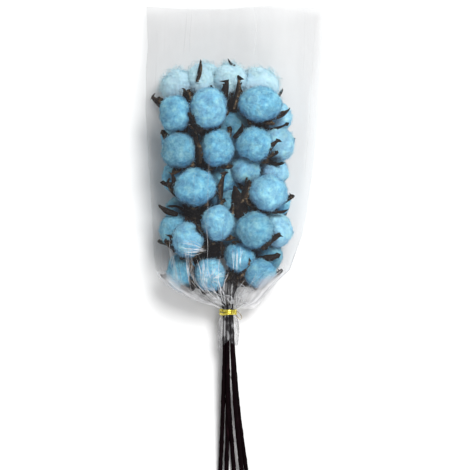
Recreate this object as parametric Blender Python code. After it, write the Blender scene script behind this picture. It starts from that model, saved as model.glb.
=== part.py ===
# A tied bunch of cut cotton stems with dyed bolls, lying on its back in a clear tapered sleeve.
# Lengths are in millimetres here and become metres where a mesh is made.
# X runs across the bunch, +Y towards the sleeve's mouth, +Z up from the surface that it lies on.
import itertools
import math
from collections import namedtuple

import bmesh
import bpy
import numpy as np
from mathutils import Matrix, Vector

MM = 0.001

# Stems
STEM_RADIUS = 2.1
STEM_TIP_RADIUS = 1.5
STEM_STEP = 24.0
STALK_RADIUS = 1.35
STALK_POINTS = 5
STALK_DROP = 17.0

# Burrs: the cup under each boll and its pointed claws
CLAW_GAP = 0.6
CLAW_ROOT_ANGLE = 5.0
CLAW_TIP_ANGLE = 112.0
CLAW_LIFT = 8.5
CLAW_LIFT_START = 0.5
CLAW_HALF_WIDTH = 4.4
CLAW_THICKNESS = 1.5
CLAW_STATIONS = 5
CLAW_SHIFTS = (0, 10, -10, 20, -20, 32, -32, 45, -45)
CLAW_LENGTHS = (1.0, 0.85, 0.7, 0.55)
CLAW_ROOM = 2.7
CLAW_WOOD_ROOM = 1.9
CLAW_COTTON_SHARE = 0.8
CLAW_CURL = 1.7
CLAW_PROFILE = ((0, 0.35, 0.7, 1), (0.5, 1, 0.62, 0.07))
CLAW_CHECK = (12, 5)
CUP_RADIUS = 5.2
CUP_HALF_HEIGHT = 2.6
CUP_GAP = 0.4
CUP_SIDES, CUP_BANDS = 6, 3

# Cotton
LOCKS = 4
LOCK_DEPTH = 0.10
LUMP_DEPTH = 0.035
COTTON_GAP = 0.45
SEGMENTS_PER_LOCK = 3
COTTON_RINGS = 7

# How near another piece has to be before it is looked at
NEAR_WOOD = 50
NEAR_CLAWS = 70
NEAR_STEM = 34
NEAR_BURR = 95
NEAR_COTTON = 50

# Sleeve
FILM = 0.7
SLEEVE_GAP = 1.3
SLEEVE_SEGMENTS = 24
GATHERS = 6
GATHER_DEPTH = 0.10
GATHER_REACH = 24.0
GATHER_START = 12.0
NECK_HALF_WIDTH = 7.3

# Twist tie round the neck
NECK_X, NECK_Y, NECK_Z = -7.0, -66.5, 24.0
TIE_RADIUS = 8.45
TIE_WIRE = 0.8
TIE_TURN_GAP = 2.2
TIE_SEGMENTS = 16
TIE_SIDES = 4
TAIL_ROOT = (8.25, 0.0, 2.5)
TAIL_RUN = (5.5, -7.5, -2.0)
TAIL_POINTS = 9
TAIL_WIRE = 0.76
TAIL_SPREAD = 0.7
TAIL_TURNS = 1.6

COTTON_BLUE = (0.17, 0.50, 0.71, 1.0)
BARK_BROWN = (0.045, 0.022, 0.018, 1.0)
FILM_GREY = (0.86, 0.87, 0.88, 0.3)
FOIL_GOLD = (0.83, 0.62, 0.10, 1.0)

Boll = namedtuple("Boll", "stem centre half faces claws")


def boll(stem, centre, half, faces, claws):
    """A boll: its stem, centre, half widths in X and Y, the way its tip faces, and its claws' angles."""
    depth = (half[0] + half[1]) / 2
    facing = np.array(faces, float)
    return Boll(stem, np.array(centre, float), np.array([*half, depth], float),
                facing / np.linalg.norm(facing), claws)


# The bolls that face the viewer come first, so that their claws have first choice of room.
# A claw is an angle round the boll and a length, where 1 reaches a little past the widest place.
BOLLS = [
    boll(4, (25, 141, 60), (21.5, 17.5), (0.15, 0.60, 0.80), ((-9, 0.9), (144, 1.05), (-45, 0.6))),
    boll(2, (-26, 137, 60), (18.0, 21.0), (-0.15, 0.35, 0.92), ((51, 1.0), (225, 0.9), (140, 1.0))),
    boll(2, (-39.5, 58.5, 62), (20.5, 18.5), (-0.05, 0.72, 0.70), ((12, 1.0), (159, 1.0), (90, 0.9))),
    boll(4, (33, 53, 61), (19.0, 18.0), (0.25, 0.45, 0.85), ((0, 0.85), (150, 0.85), (205, 0.8))),
    boll(3, (-17, 97, 60), (15.5, 18.5), (0.10, 0.60, 0.80), ((62, 1.0), (165, 1.0), (310, 0.7))),
    boll(4, (19.5, 101, 61), (18.0, 16.5), (-0.05, 0.50, 0.85), ((15, 0.75), (114, 0.8), (310, 0.6))),
    boll(1, (-56, 95, 58), (17.0, 17.5), (-0.25, 0.45, 0.85), ((126, 1.05), (20, 1.0), (250, 0.7))),
    boll(1, (-60, 132, 58), (15.0, 18.0), (-0.35, 0.25, 0.90), ((135, 0.95), (60, 1.0), (330, 1.0))),
    boll(3, (-17, 23, 61), (15.5, 17.5), (0.25, 0.55, 0.80), ((90, 1.0), (200, 0.9), (330, 0.7))),
    boll(4, (20, 16, 60), (19.0, 18.0), (-0.30, 0.50, 0.80), ((-15, 0.75), (80, 0.9), (190, 0.8))),
    boll(1, (-47.5, 6, 55), (15.5, 17.0), (-0.05, 0.55, 0.80), ((170, 0.9), (75, 1.0), (-20, 0.9))),
    boll(4, (25.5, -28, 50), (15.5, 14.5), (0.10, 0.60, 0.78), ((15, 0.9), (117, 0.8), (200, 0.7))),
    boll(2, (-25, -29, 50), (15.0, 16.0), (0.15, 0.60, 0.78), ((40, 1.0), (110, 1.0), (205, 1.0))),
    boll(3, (11.5, 76, 46), (15.5, 14.5), (0.10, 0.55, 0.80), ((70, 0.9), (160, 0.9), (340, 0.8))),
    boll(3, (5, -10.5, 48), (14.5, 16.5), (0.05, 0.60, 0.80), ((60, 0.9), (150, 1.0), (270, 0.7))),
    boll(5, (43, 102, 42), (16.5, 17.0), (0.75, 0.45, 0.45), ((45, 1.0), (165, 1.0), (285, 0.9))),
    boll(5, (38, 73, 35), (15.5, 15.5), (0.85, 0.35, -0.10), ((75, 1.0), (180, 1.0))),
    boll(5, (41, 16, 38), (16.0, 17.0), (0.70, 0.50, 0.30), ((84, 1.1), (190, 1.0), (310, 0.9))),
    boll(1, (-60, 16, 37), (15.0, 16.0), (-0.75, 0.25, 0.40), ((81, 1.2), (190, 1.0), (320, 0.9))),
    boll(1, (-54, -27, 32), (14.0, 19.0), (-0.70, 0.25, 0.55), ((183, 1.1), (60, 1.0), (290, 1.0))),
    boll(2, (-31, 165, 30), (16.5, 17.5), (0.10, 0.90, 0.35), ((99, 1.0), (5, 0.9), (185, 0.9))),
    boll(3, (-5, 166, 38), (15.5, 15.5), (0.05, 0.75, 0.60), ((90, 0.95), (20, 0.9), (170, 0.9))),
    boll(4, (24, 161, 26), (18.5, 17.0), (0.35, 0.85, -0.10), ((30, 1.0), (150, 1.0))),
    boll(1, (-57, 160, 28), (16.0, 16.0), (-0.60, 0.75, 0.10), ((30, 1.0), (90, 0.9))),
    boll(5, (41, 129, 30), (15.5, 16.0), (0.80, 0.50, 0.00), ((60, 1.0), (300, 1.0))),
    boll(3, (-2, 120, 36), (16.0, 17.0), (0.05, 0.70, 0.60), ((100, 1.0), (200, 0.9))),
    boll(2, (-31, 39, 23), (17.0, 18.0), (-0.10, 0.55, -0.80), ((30, 1.0), (210, 1.0))),
    boll(1, (-56, 70, 25), (16.5, 17.0), (-0.75, 0.35, -0.30), ((80, 1.0), (200, 1.0))),
    boll(5, (31.5, -10, 27), (16.0, 16.0), (0.70, 0.30, -0.20), ((60, 1.0), (300, 1.0))),
    boll(1, (-54, 36, 20), (15.0, 15.0), (-0.75, 0.20, -0.40), ((60, 1.0), (300, 1.0))),
    boll(2, (-30, 96, 22), (16.0, 17.0), (0.10, 0.55, -0.80), ((30, 1.0), (210, 1.0))),
    boll(2, (-28, 129, 22), (16.0, 16.0), (0.10, 0.50, -0.80), ((30, 1.0), (210, 1.0))),
    boll(1, (-57, 108, 24), (16.0, 17.0), (-0.60, 0.50, -0.50), ((80, 1.0), (260, 1.0))),
    boll(3, (-9, 68, 34), (15.0, 16.0), (-0.20, 0.60, 0.60), ((60, 0.9), (200, 0.9))),
    boll(3, (0, 42, 37), (16.0, 16.0), (0.10, 0.60, 0.60), ((60, 0.9), (200, 0.9))),
    boll(3, (0, 13, 34), (15.0, 15.5), (0.00, 0.60, 0.60), ((60, 0.9), (200, 0.9))),
    boll(2, (-27, 4, 22), (15.0, 16.0), (0.10, 0.55, -0.80), ((30, 1.0), (210, 1.0))),
    boll(5, (40, 44, 22), (15.0, 15.0), (0.70, 0.50, -0.40), ((80, 1.0), (260, 1.0))),
    boll(3, (3, 94, 30), (14.0, 14.5), (0.10, 0.60, 0.60), ((75, 0.9),)),
]

# Each stem's way from its cut end, through the neck, and up between the layers of bolls.
STEM_ROUTES = {
    1: ((-15.6, -243.67, 2.2), (-12.0, -155, 13.1), (-11, -66, 24), (-22, -42, 29), (-37, -14, 37),
        (-45, 15, 41), (-51, 50, 42), (-50, 90, 41), (-49, 122, 38), (-50, 140, 35)),
    2: ((-8.8, -243.67, 2.2), (-7.4, -155, 15.6), (-8.2, -66, 27.8), (-14, -42, 35), (-27, -12, 39),
        (-33, 20, 42), (-31, 60, 41), (-30, 100, 41), (-30, 126, 38), (-31, 142, 34)),
    3: ((0.3, -243.67, 2.2), (-6.4, -155, 10.6), (-8.2, -66, 20.2), (-6, -42, 21), (-5, -12, 19),
        (-6, 25, 17), (-6, 65, 15), (-6, 100, 15), (-6, 128, 19), (-5, 144, 25)),
    4: ((8.2, -243.67, 7.2), (-0.3, -155, 17.0), (-3.8, -66, 26.4), (-1, -44, 31.5), (12.5, -18, 38.5),
        (23, 20, 41), (25, 60, 42), (22, 100, 42), (22, 126, 38), (22, 140, 34)),
    5: ((13.4, -243.67, 2.2), (2.2, -155, 11.8), (-3.8, -66, 21.6), (0, -42, 18), (10, -18, 12),
        (26, 15, 12), (28, 50, 18), (29, 75, 23), (28, 100, 28), (29, 120, 31)),
}

# The sleeve's sections: place, left and right seam, seam height, rise above and fall below the
# seams, and how sharply the two faces meet at a seam.
Section = namedtuple("Section", "y left right seam rise fall sharp")
SLEEVE = [
    Section(244, -91, 91, 12, 21, 11, 0.80),
    Section(200, -89, 90, 16, 37, 17, 0.70),
    Section(180, -91, 88, 21, 52, 23, 0.58),
    Section(160, -91, 86, 25, 58, 28, 0.50),
    Section(135, -91, 85, 27, 58, 31, 0.46),
    Section(85, -88, 80, 27, 58, 31, 0.46),
    Section(35, -85, 73, 27, 58, 31, 0.46),
    Section(10, -83, 68, 27, 57, 31, 0.46),
    Section(-10, -82, 61, 27, 56, 30, 0.47),
    Section(-24, -80, 56, 27, 52, 29, 0.48),
    Section(-34, -75, 45, 27, 46, 27.5, 0.50),
    Section(-43, -64, 37, 26, 37, 25, 0.52),
    Section(-51, -50, 30, 25.5, 25, 17, 0.55),
    Section(-57, -36, 24, 25, 17, 12, 0.55),
    Section(-61.5, -19, 10, 24.4, 10, 9, 0.5),
    Section(-64.5, -14.3, 0.3, 24, 7.3, 7.3, 0.5),
    Section(-68.5, -14.3, 0.3, 24, 7.3, 7.3, 0.5),
    Section(-76, -17.5, 4.5, 22.8, 9.5, 8.5, 0.5),
    Section(-89, -18.5, 5.5, 21.4, 10, 8.5, 0.5),
    Section(-102, -17.5, 4.0, 20, 9, 8.5, 0.5),
]
SECTION_POWER = 2.2


def in_metres(points):
    return [Vector(point) * MM for point in np.asarray(points, float)]


def material(name, colour, roughness, metallic=0.0):
    made = bpy.data.materials.new(name)
    made.use_nodes = True
    shader = made.node_tree.nodes["Principled BSDF"]
    shader.inputs["Base Color"].default_value = colour
    shader.inputs["Alpha"].default_value = colour[3]
    shader.inputs["Roughness"].default_value = roughness
    shader.inputs["Metallic"].default_value = metallic
    made.diffuse_color = colour
    return made


def mesh_object(name, bm, collection, origin=(0, 0, 0)):
    """An object of the mesh, with its origin at the given place."""
    bmesh.ops.translate(bm, vec=-Vector(origin) * MM, verts=bm.verts)
    bm.normal_update()
    bmesh.ops.recalc_face_normals(bm, faces=bm.faces)
    mesh = bpy.data.meshes.new(name)
    bm.to_mesh(mesh)
    bm.free()
    obj = bpy.data.objects.new(name, mesh)
    obj.location = Vector(origin) * MM
    collection.objects.link(obj)
    return obj


def smooth_path(points, step):
    """Points about `step` apart on a Catmull-Rom curve through the given points."""
    p = np.array(points, float)
    p = np.vstack([2 * p[0] - p[1], p, 2 * p[-1] - p[-2]])
    path = []
    for a, b, c, d in zip(p, p[1:], p[2:], p[3:]):
        pieces = max(1, round(np.linalg.norm(c - b) / step))
        for t in np.arange(pieces) / pieces:
            path.append(0.5 * (2 * b + (c - a) * t + (2 * a - 5 * b + 4 * c - d) * t * t
                               + (3 * b - a - 3 * c + d) * t ** 3))
    return np.array(path + [p[-2]])


def tube(name, points, radii, sides_level, collection):
    """A closed round tube along the points, made as a bevelled curve and then a mesh."""
    curve = bpy.data.curves.new(name, "CURVE")
    curve.dimensions = "3D"
    curve.bevel_depth = MM
    curve.bevel_resolution = sides_level
    curve.use_fill_caps = True
    spline = curve.splines.new("POLY")
    spline.points.add(len(points) - 1)
    for knot, place, radius in zip(spline.points, in_metres(points), radii):
        knot.co = (*place, 1.0)
        knot.radius = radius
    guide = bpy.data.objects.new(name + "_curve", curve)
    bpy.context.scene.collection.objects.link(guide)
    graph = bpy.context.evaluated_depsgraph_get()
    mesh = bpy.data.meshes.new_from_object(guide.evaluated_get(graph))
    bm = bmesh.new()
    bm.from_mesh(mesh)
    bmesh.ops.remove_doubles(bm, verts=bm.verts, dist=1e-6)
    bpy.data.objects.remove(guide)
    bpy.data.meshes.remove(mesh)
    return mesh_object(name, bm, collection)


def boll_axes(one):
    """The boll's own axes: across, across again, and towards its tip."""
    across = np.array([1.0, 0.0, 0.0]) - one.faces[0] * one.faces
    across /= np.linalg.norm(across)
    return across, np.cross(one.faces, across), one.faces


def reach(one, directions):
    """How far the boll's ellipsoid reaches from its centre in these directions."""
    return 1 / np.sqrt(((directions / one.half) ** 2).sum(-1))


def base_of(one, beyond):
    return one.centre - one.faces * (reach(one, -one.faces) + beyond)


def section_at(y):
    ys = [s.y for s in SLEEVE][::-1]
    return Section(y, *(np.interp(y, ys, [getattr(s, key) for s in SLEEVE][::-1])
                        for key in Section._fields[1:]))


def inside_sleeve(points, margin):
    """Which points lie inside the sleeve by at least the margin."""
    x, y, z = points[..., 0], points[..., 1], points[..., 2]
    cut = section_at(y)
    half = (cut.right - cut.left) / 2 - margin
    u = np.abs(x - (cut.right + cut.left) / 2) / half
    bulge = np.clip(1 - u ** SECTION_POWER, 0, 1) ** cut.sharp
    top = cut.seam + cut.rise * bulge - margin
    bottom = np.maximum(cut.seam - cut.fall * bulge, 0) + margin
    return (u < 1) & (z < top) & (z > bottom)


def pulled_inside(points, home, margin):
    """Each point moved towards home until it lies inside the sleeve."""
    low, high = np.zeros(points.shape[:-1]), np.ones(points.shape[:-1])
    ways = points - home
    for _ in range(18):
        middle = (low + high) / 2
        fits = inside_sleeve(home + ways * middle[..., None], margin)
        low, high = np.where(fits, middle, low), np.where(fits, high, middle)
    whole = inside_sleeve(points, margin)
    return np.where(whole[..., None], points, home + ways * low[..., None])


def claw_grid(one, angle, length, stations, across):
    """Points on a claw's inner face, station by station from root to tip, and its outward ways."""
    u, v, tip = boll_axes(one)
    turn = math.radians(angle)
    s = np.linspace(0, 1, stations)
    open_angle = np.radians(CLAW_ROOT_ANGLE + (CLAW_TIP_ANGLE * length - CLAW_ROOT_ANGLE) * s)
    radial = u * math.cos(turn) + v * math.sin(turn)
    side = v * math.cos(turn) - u * math.sin(turn)
    out = radial * np.sin(open_angle)[:, None] - tip * np.cos(open_angle)[:, None]
    curl = np.clip((s - CLAW_LIFT_START) / (1 - CLAW_LIFT_START), 0, 1) ** CLAW_CURL
    distance = reach(one, out) + CLAW_GAP + CLAW_LIFT * length * curl
    middle = one.centre + out * distance[:, None]
    middle = pulled_inside(middle, one.centre, FILM + SLEEVE_GAP + CLAW_THICKNESS)
    width = CLAW_HALF_WIDTH * np.interp(s, *CLAW_PROFILE)
    w = np.linspace(-1, 1, across)
    return middle[:, None] + side * (width[:, None] * w)[..., None], out


def claw_rings(one, angle, length):
    """Three corners for each station: the inner face's two edges and the ridge outside."""
    grid, out = claw_grid(one, angle, length, CLAW_STATIONS, 3)
    thick = CLAW_THICKNESS * np.interp(np.linspace(0, 1, CLAW_STATIONS), (0, 0.7, 1), (1, 0.9, 0.45))
    ridge = grid[:, 1] + out * thick[:, None]
    rings = np.stack([grid[:, 0], grid[:, 2], ridge], axis=1)
    return pulled_inside(rings, one.centre, FILM + SLEEVE_GAP)


def stalk_path(one, stem_path):
    """A boll's own short stalk, from a point lower on its stem to the cup."""
    foot_y = base_of(one, 0)[1] - STALK_DROP
    at = int(np.clip(np.searchsorted(stem_path[:, 1], foot_y), 1, len(stem_path) - 2))
    foot = stem_path[at]
    along = stem_path[at + 1] - stem_path[at - 1]
    along /= np.linalg.norm(along)
    end = base_of(one, CUP_HALF_HEIGHT)
    pull = 0.38 * np.linalg.norm(end - foot)
    a, b = foot + along * pull, end - one.faces * pull
    t = np.linspace(0, 1, STALK_POINTS)[:, None]
    return ((1 - t) ** 3 * foot + 3 * (1 - t) ** 2 * t * a + 3 * (1 - t) * t * t * b + t ** 3 * end)


def to_segment(points, start, end):
    """Distances from points to the segment between start and end."""
    way = end - start
    t = np.clip((points - start) @ way / (way @ way), 0, 1)
    return np.linalg.norm(points - start - t[..., None] * way, axis=-1)


def clear_of_cotton(points, one):
    return all((((points - other.centre) / other.half) ** 2).sum(-1).min() > CLAW_COTTON_SHARE ** 2
               for other in BOLLS if other is not one)


def clear_of_wood(points, one, wood):
    return all(to_segment(points, a, b).min() > radius + CLAW_WOOD_ROOM
               for stem, a, b, radius in wood
               if stem != one.stem and np.linalg.norm(a - one.centre) < NEAR_WOOD)


def clear_of_claws(points, one, placed):
    return all(np.linalg.norm(points[:, None] - other, axis=-1).min() > CLAW_ROOM
               for stem, home, other in placed
               if stem != one.stem and np.linalg.norm(home - one.centre) < NEAR_CLAWS)


def lay_out():
    """Every stem's path, stalks and claws. A claw is turned or kept short where it would cross
    another stem's wood or run deep into another boll, and left off where nothing clears."""
    paths = {stem: smooth_path(route, STEM_STEP) for stem, route in STEM_ROUTES.items()}
    stalks = [stalk_path(one, paths[one.stem]) for one in BOLLS]
    wood = [(stem, a, b, STEM_RADIUS) for stem, path in paths.items() for a, b in zip(path, path[1:])]
    for one, stalk in zip(BOLLS, stalks):
        wood += [(one.stem, a, b, STALK_RADIUS) for a, b in zip(stalk, stalk[1:])]
        wood.append((one.stem, base_of(one, 1), base_of(one, 4), CUP_RADIUS))
    claws, placed = [], []
    for one in BOLLS:
        kept = []
        for angle, whole in one.claws:
            for share, shift in itertools.product(CLAW_LENGTHS, CLAW_SHIFTS):
                length = whole * share
                grid, _ = claw_grid(one, angle + shift, length, *CLAW_CHECK)
                points = grid[2:].reshape(-1, 3)
                if (clear_of_cotton(points, one) and clear_of_wood(points, one, wood)
                        and clear_of_claws(points, one, placed)):
                    kept.append(claw_rings(one, angle + shift, length))
                    placed.append((one.stem, one.centre, points))
                    break
        claws.append(kept)
    return paths, stalks, claws


def limits_round(index, paths, stalks, claws):
    """Flat limits (normal, distance from the boll's centre) that keep its cotton off all wood
    and off its neighbours' cotton. The cotton stays on the near side of every one."""
    one = BOLLS[index]
    limits = []

    def add(corners, radius):
        corners = np.asarray(corners) - one.centre
        tries = np.vstack([corners, corners.mean(0)])
        tries /= np.linalg.norm(tries, axis=1)[:, None]
        clear = (tries @ corners.T).min(1) - radius
        best = int(clear.argmax())
        if clear[best] < one.half.max() + 2:
            limits.append((tries[best], clear[best] - COTTON_GAP))

    for path in paths.values():
        for a, b in zip(path, path[1:]):
            way = b - a
            t = np.clip((one.centre - a) @ way / (way @ way), 0, 1)
            if np.linalg.norm(a + t * way - one.centre) < NEAR_STEM:
                add([a, b, a + t * way], STEM_RADIUS)
    for other, stalk, kept in zip(BOLLS, stalks, claws):
        if np.linalg.norm(other.centre - one.centre) > NEAR_BURR:
            continue
        for a, b in zip(stalk, stalk[1:]):
            add([a, (a + b) / 2, b], STALK_RADIUS)
        cup_reach = CUP_HALF_HEIGHT if other is one else CUP_RADIUS
        add([base_of(other, CUP_HALF_HEIGHT + CLAW_GAP)], cup_reach)
        for rings in kept:
            for a, b in zip(rings, rings[1:]):
                add(np.vstack([a, b]), 0)
        between = other.centre - one.centre
        apart = np.linalg.norm(between)
        if 0 < apart < NEAR_COTTON:
            way = between / apart
            mine, theirs = reach(one, way), reach(other, -way)
            limits.append((way, (apart ** 2 + mine ** 2 - theirs ** 2) / (2 * apart) - COTTON_GAP))
    return np.array([n for n, _ in limits]), np.array([d for _, d in limits])


def cotton_form(one, local, seed):
    """The cotton's reach, as a share of the boll's ellipsoid: locks, grooves and soft lumps."""
    turn = np.arctan2(local[:, 1], local[:, 0]) - math.radians(one.claws[0][0])
    groove = (0.5 - 0.5 * np.cos(LOCKS * turn)) ** 3 * np.sqrt(1 - np.clip(local[:, 2], -1, 1) ** 2)
    dimple = np.clip((local[:, 2] - 0.82) / 0.18, 0, 1) ** 2
    rng = np.random.default_rng(seed)
    lump = sum(np.sin(3.2 * local @ rng.normal(size=3) + rng.uniform(0, 6)) for _ in range(4)) / 4
    return 1 - LOCK_DEPTH * np.maximum(groove, dimple) - LUMP_DEPTH * (0.5 + 0.5 * lump)


def cotton(index, limits, collection):
    """One boll's cotton, pressed flat where it meets wood, film or the next boll."""
    one = BOLLS[index]
    bm = bmesh.new()
    bmesh.ops.create_uvsphere(bm, u_segments=SEGMENTS_PER_LOCK * LOCKS, v_segments=COTTON_RINGS,
                              radius=1)
    local = np.array([v.co for v in bm.verts])
    local /= np.linalg.norm(local, axis=1)[:, None]
    ways = local @ np.array(boll_axes(one))
    distance = reach(one, ways) * cotton_form(one, local, index)
    normals, depths = limits
    slant = ways @ normals.T
    allowed = np.where(slant > 1e-3, depths / np.maximum(slant, 1e-3), np.inf).min(1)
    points = one.centre + ways * np.minimum(distance, allowed)[:, None]
    points = pulled_inside(points, one.centre, FILM + SLEEVE_GAP)
    for vertex, place in zip(bm.verts, in_metres(points)):
        vertex.co = place
    return mesh_object(f"cotton_{index + 1:02d}", bm, collection, one.centre)


def claw(name, rings, collection):
    """A solid claw: a three-sided horn lofted through its stations."""
    bm = bmesh.new()
    loops = [[bm.verts.new(place) for place in in_metres(ring)] for ring in rings]
    for a, b in zip(loops, loops[1:]):
        for k in range(3):
            bm.faces.new((a[k], a[(k + 1) % 3], b[(k + 1) % 3], b[k]))
    bm.faces.new(loops[0])
    bm.faces.new(loops[-1])
    bmesh.ops.triangulate(bm, faces=bm.faces)
    return mesh_object(name, bm, collection)


def cup(name, one, collection):
    """The woody cup that the claws and the stalk grow from."""
    turn = Vector(one.faces).to_track_quat("Z", "Y").to_matrix().to_4x4()
    size = Matrix.Diagonal((CUP_RADIUS * MM, CUP_RADIUS * MM, CUP_HALF_HEIGHT * MM, 1))
    place = Matrix.Translation(in_metres([base_of(one, CUP_HALF_HEIGHT + CUP_GAP)])[0])
    bm = bmesh.new()
    bmesh.ops.create_uvsphere(bm, u_segments=CUP_SIDES, v_segments=CUP_BANDS, radius=1,
                              matrix=place @ turn @ size)
    return mesh_object(name, bm, collection)


def joined(obj, others):
    """The object with everything in the collection united with it, as one mesh."""
    modifier = obj.modifiers.new("union", "BOOLEAN")
    modifier.operation = "UNION"
    modifier.operand_type = "COLLECTION"
    modifier.collection = others
    modifier.solver = "MANIFOLD"
    graph = bpy.context.evaluated_depsgraph_get()
    united = bpy.data.meshes.new_from_object(obj.evaluated_get(graph))
    obj.modifiers.clear()
    obj.data = united
    for other in list(others.objects):
        bpy.data.objects.remove(other)
    bpy.data.collections.remove(others)
    return obj


def stem(number, path, stalks, claws, collection):
    """One cut stem with the stalks, cups and claws that grow from it, as one piece."""
    radii = np.linspace(STEM_RADIUS, STEM_TIP_RADIUS, len(path))
    whole = tube(f"stem_{number}", path, radii, 1, collection)
    growths = bpy.data.collections.new(f"growths_{number}")
    bpy.context.scene.collection.children.link(growths)
    for index, one in enumerate(BOLLS):
        if one.stem != number:
            continue
        tube(f"stalk_{index}", stalks[index], [STALK_RADIUS] * STALK_POINTS, 0, growths)
        cup(f"cup_{index}", one, growths)
        for k, rings in enumerate(claws[index]):
            claw(f"claw_{index}_{k}", rings, growths)
    return joined(whole, growths)


def section_ring(cut, inset):
    """One ring of the sleeve, gathered into pleats near the neck."""
    turns = np.arange(SLEEVE_SEGMENTS) * 2 * math.pi / SLEEVE_SEGMENTS
    half = (cut.right - cut.left) / 2 - inset
    u = np.cos(turns)
    bulge = (1 - np.abs(u) ** SECTION_POWER) ** cut.sharp
    above = np.sin(turns) > 0
    drop = np.where(above, cut.rise, -cut.fall) * bulge
    z = cut.seam + drop - np.where(above, inset, -inset) * np.sign(bulge)
    z = np.maximum(z, inset)
    x = (cut.right + cut.left) / 2 + u * half
    near_neck = math.exp(-((cut.y - NECK_Y) / GATHER_REACH) ** 2)
    near_neck *= min(1, (half + inset - NECK_HALF_WIDTH) / GATHER_START)
    pleat = 1 + GATHER_DEPTH * near_neck * (0.5 + 0.5 * np.cos(GATHERS * turns))
    x = NECK_X + (x - NECK_X) * pleat
    z = NECK_Z + (z - NECK_Z) * pleat
    z = np.maximum(z, inset)
    y = np.full(SLEEVE_SEGMENTS, float(cut.y))
    return np.stack([x, y, z], axis=1)


def sleeve(collection):
    """The clear tapered sleeve: a thin tube, open at its mouth and at the skirt below the tie."""
    bm = bmesh.new()
    skins = []
    for inset in (0.0, FILM):
        skins.append([[bm.verts.new(place) for place in in_metres(section_ring(cut, inset))]
                      for cut in SLEEVE])
    around = range(SLEEVE_SEGMENTS)
    for rings in skins:
        for a, b in zip(rings, rings[1:]):
            for k in around:
                n = (k + 1) % SLEEVE_SEGMENTS
                face = (a[k], a[n], b[n], b[k])
                bm.faces.new(face if rings is skins[0] else face[::-1])
    outer, inner = skins
    for end in (0, -1):
        for k in around:
            n = (k + 1) % SLEEVE_SEGMENTS
            face = (outer[end][k], inner[end][k], inner[end][n], outer[end][n])
            bm.faces.new(face if end == 0 else face[::-1])
    return mesh_object("sleeve", bm, collection, (NECK_X, NECK_Y, NECK_Z))


def tie(collection):
    """The twist tie: two turns round the neck and the twisted pair of ends at its right."""
    centre = np.array([NECK_X, NECK_Y, NECK_Z])
    strands = bpy.data.collections.new("tie_strands")
    bpy.context.scene.collection.children.link(strands)
    half_gap = np.array([0, TIE_TURN_GAP / 2, 0])
    whole = ring_tube("twist_tie", centre - half_gap, collection)
    ring_tube("turn_2", centre + half_gap, strands)
    along = np.linspace(0, 1, TAIL_POINTS)[:, None]
    for k, start in enumerate((math.pi / 2, -math.pi / 2)):
        spin = start + along * TAIL_TURNS * 2 * math.pi
        twist = np.hstack([np.zeros_like(spin), np.sin(spin), np.cos(spin)]) * TAIL_SPREAD
        tail = centre + np.array(TAIL_ROOT) + along * np.array(TAIL_RUN) + twist
        tube(f"tail_{k}", tail, [TAIL_WIRE] * TAIL_POINTS, 0, strands)
    return joined(whole, strands)


def ring_tube(name, centre, collection):
    """One closed turn of the tie's wire round the neck."""
    bm = bmesh.new()
    loops = []
    for turn in np.arange(TIE_SEGMENTS) * 2 * math.pi / TIE_SEGMENTS:
        out = np.array([math.cos(turn), 0, math.sin(turn)])
        corners = [centre + out * (TIE_RADIUS + TIE_WIRE * math.cos(t)) + [0, TIE_WIRE * math.sin(t), 0]
                   for t in np.arange(TIE_SIDES) * 2 * math.pi / TIE_SIDES]
        loops.append([bm.verts.new(corner) for corner in in_metres(corners)])
    for a, b in zip(loops, loops[1:] + loops[:1]):
        for k in range(TIE_SIDES):
            bm.faces.new((a[k], a[(k + 1) % TIE_SIDES], b[(k + 1) % TIE_SIDES], b[k]))
    return mesh_object(name, bm, collection)


def finish_object(obj, look, holder):
    obj.parent = holder
    obj.data.materials.clear()
    obj.data.materials.append(look)
    obj.data.shade_smooth()
    obj.data.set_sharp_from_angle(angle=math.radians(50))


def main():
    for obj in list(bpy.data.objects):
        bpy.data.objects.remove(obj)
    bunch = bpy.data.collections.new("cotton_bunch")
    bpy.context.scene.collection.children.link(bunch)
    holder = bpy.data.objects.new("cotton_stem_bunch", None)
    bunch.objects.link(holder)
    blue = material("dyed_cotton", COTTON_BLUE, 0.95)
    bark = material("bark", BARK_BROWN, 0.75)
    film = material("clear_film", FILM_GREY, 0.15)
    foil = material("gold_foil", FOIL_GOLD, 0.3, 0.8)

    paths, stalks, claws = lay_out()
    for number, path in paths.items():
        finish_object(stem(number, path, stalks, claws, bunch), bark, holder)
    for index in range(len(BOLLS)):
        limits = limits_round(index, paths, stalks, claws)
        finish_object(cotton(index, limits, bunch), blue, holder)
    finish_object(sleeve(bunch), film, holder)
    finish_object(tie(bunch), foil, holder)


main()
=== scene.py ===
# Looks of a tied bunch of dyed cotton stems that lies on its back in a clear tapered sleeve.
# The layout repeats the CAD model's rules, so that each piece lies where its solid does.
# Lengths are in millimetres until a mesh is made, which is in metres.
import itertools
import math
from collections import namedtuple

import bmesh
import bpy
import numpy as np
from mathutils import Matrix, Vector


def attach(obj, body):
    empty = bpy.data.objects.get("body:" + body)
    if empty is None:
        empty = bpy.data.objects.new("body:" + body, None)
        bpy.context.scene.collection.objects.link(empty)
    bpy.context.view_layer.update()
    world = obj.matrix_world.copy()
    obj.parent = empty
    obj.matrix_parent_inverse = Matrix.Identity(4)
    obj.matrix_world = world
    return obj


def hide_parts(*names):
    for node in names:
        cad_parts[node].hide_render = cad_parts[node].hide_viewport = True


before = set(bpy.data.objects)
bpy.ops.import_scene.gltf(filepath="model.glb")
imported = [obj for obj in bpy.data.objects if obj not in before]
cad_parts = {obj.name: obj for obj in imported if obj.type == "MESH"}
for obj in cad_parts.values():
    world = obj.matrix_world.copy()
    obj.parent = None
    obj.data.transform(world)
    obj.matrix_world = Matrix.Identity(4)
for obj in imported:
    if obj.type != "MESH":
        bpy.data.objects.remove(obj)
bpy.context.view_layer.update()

MM = 0.001
BODY = "root"

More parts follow.
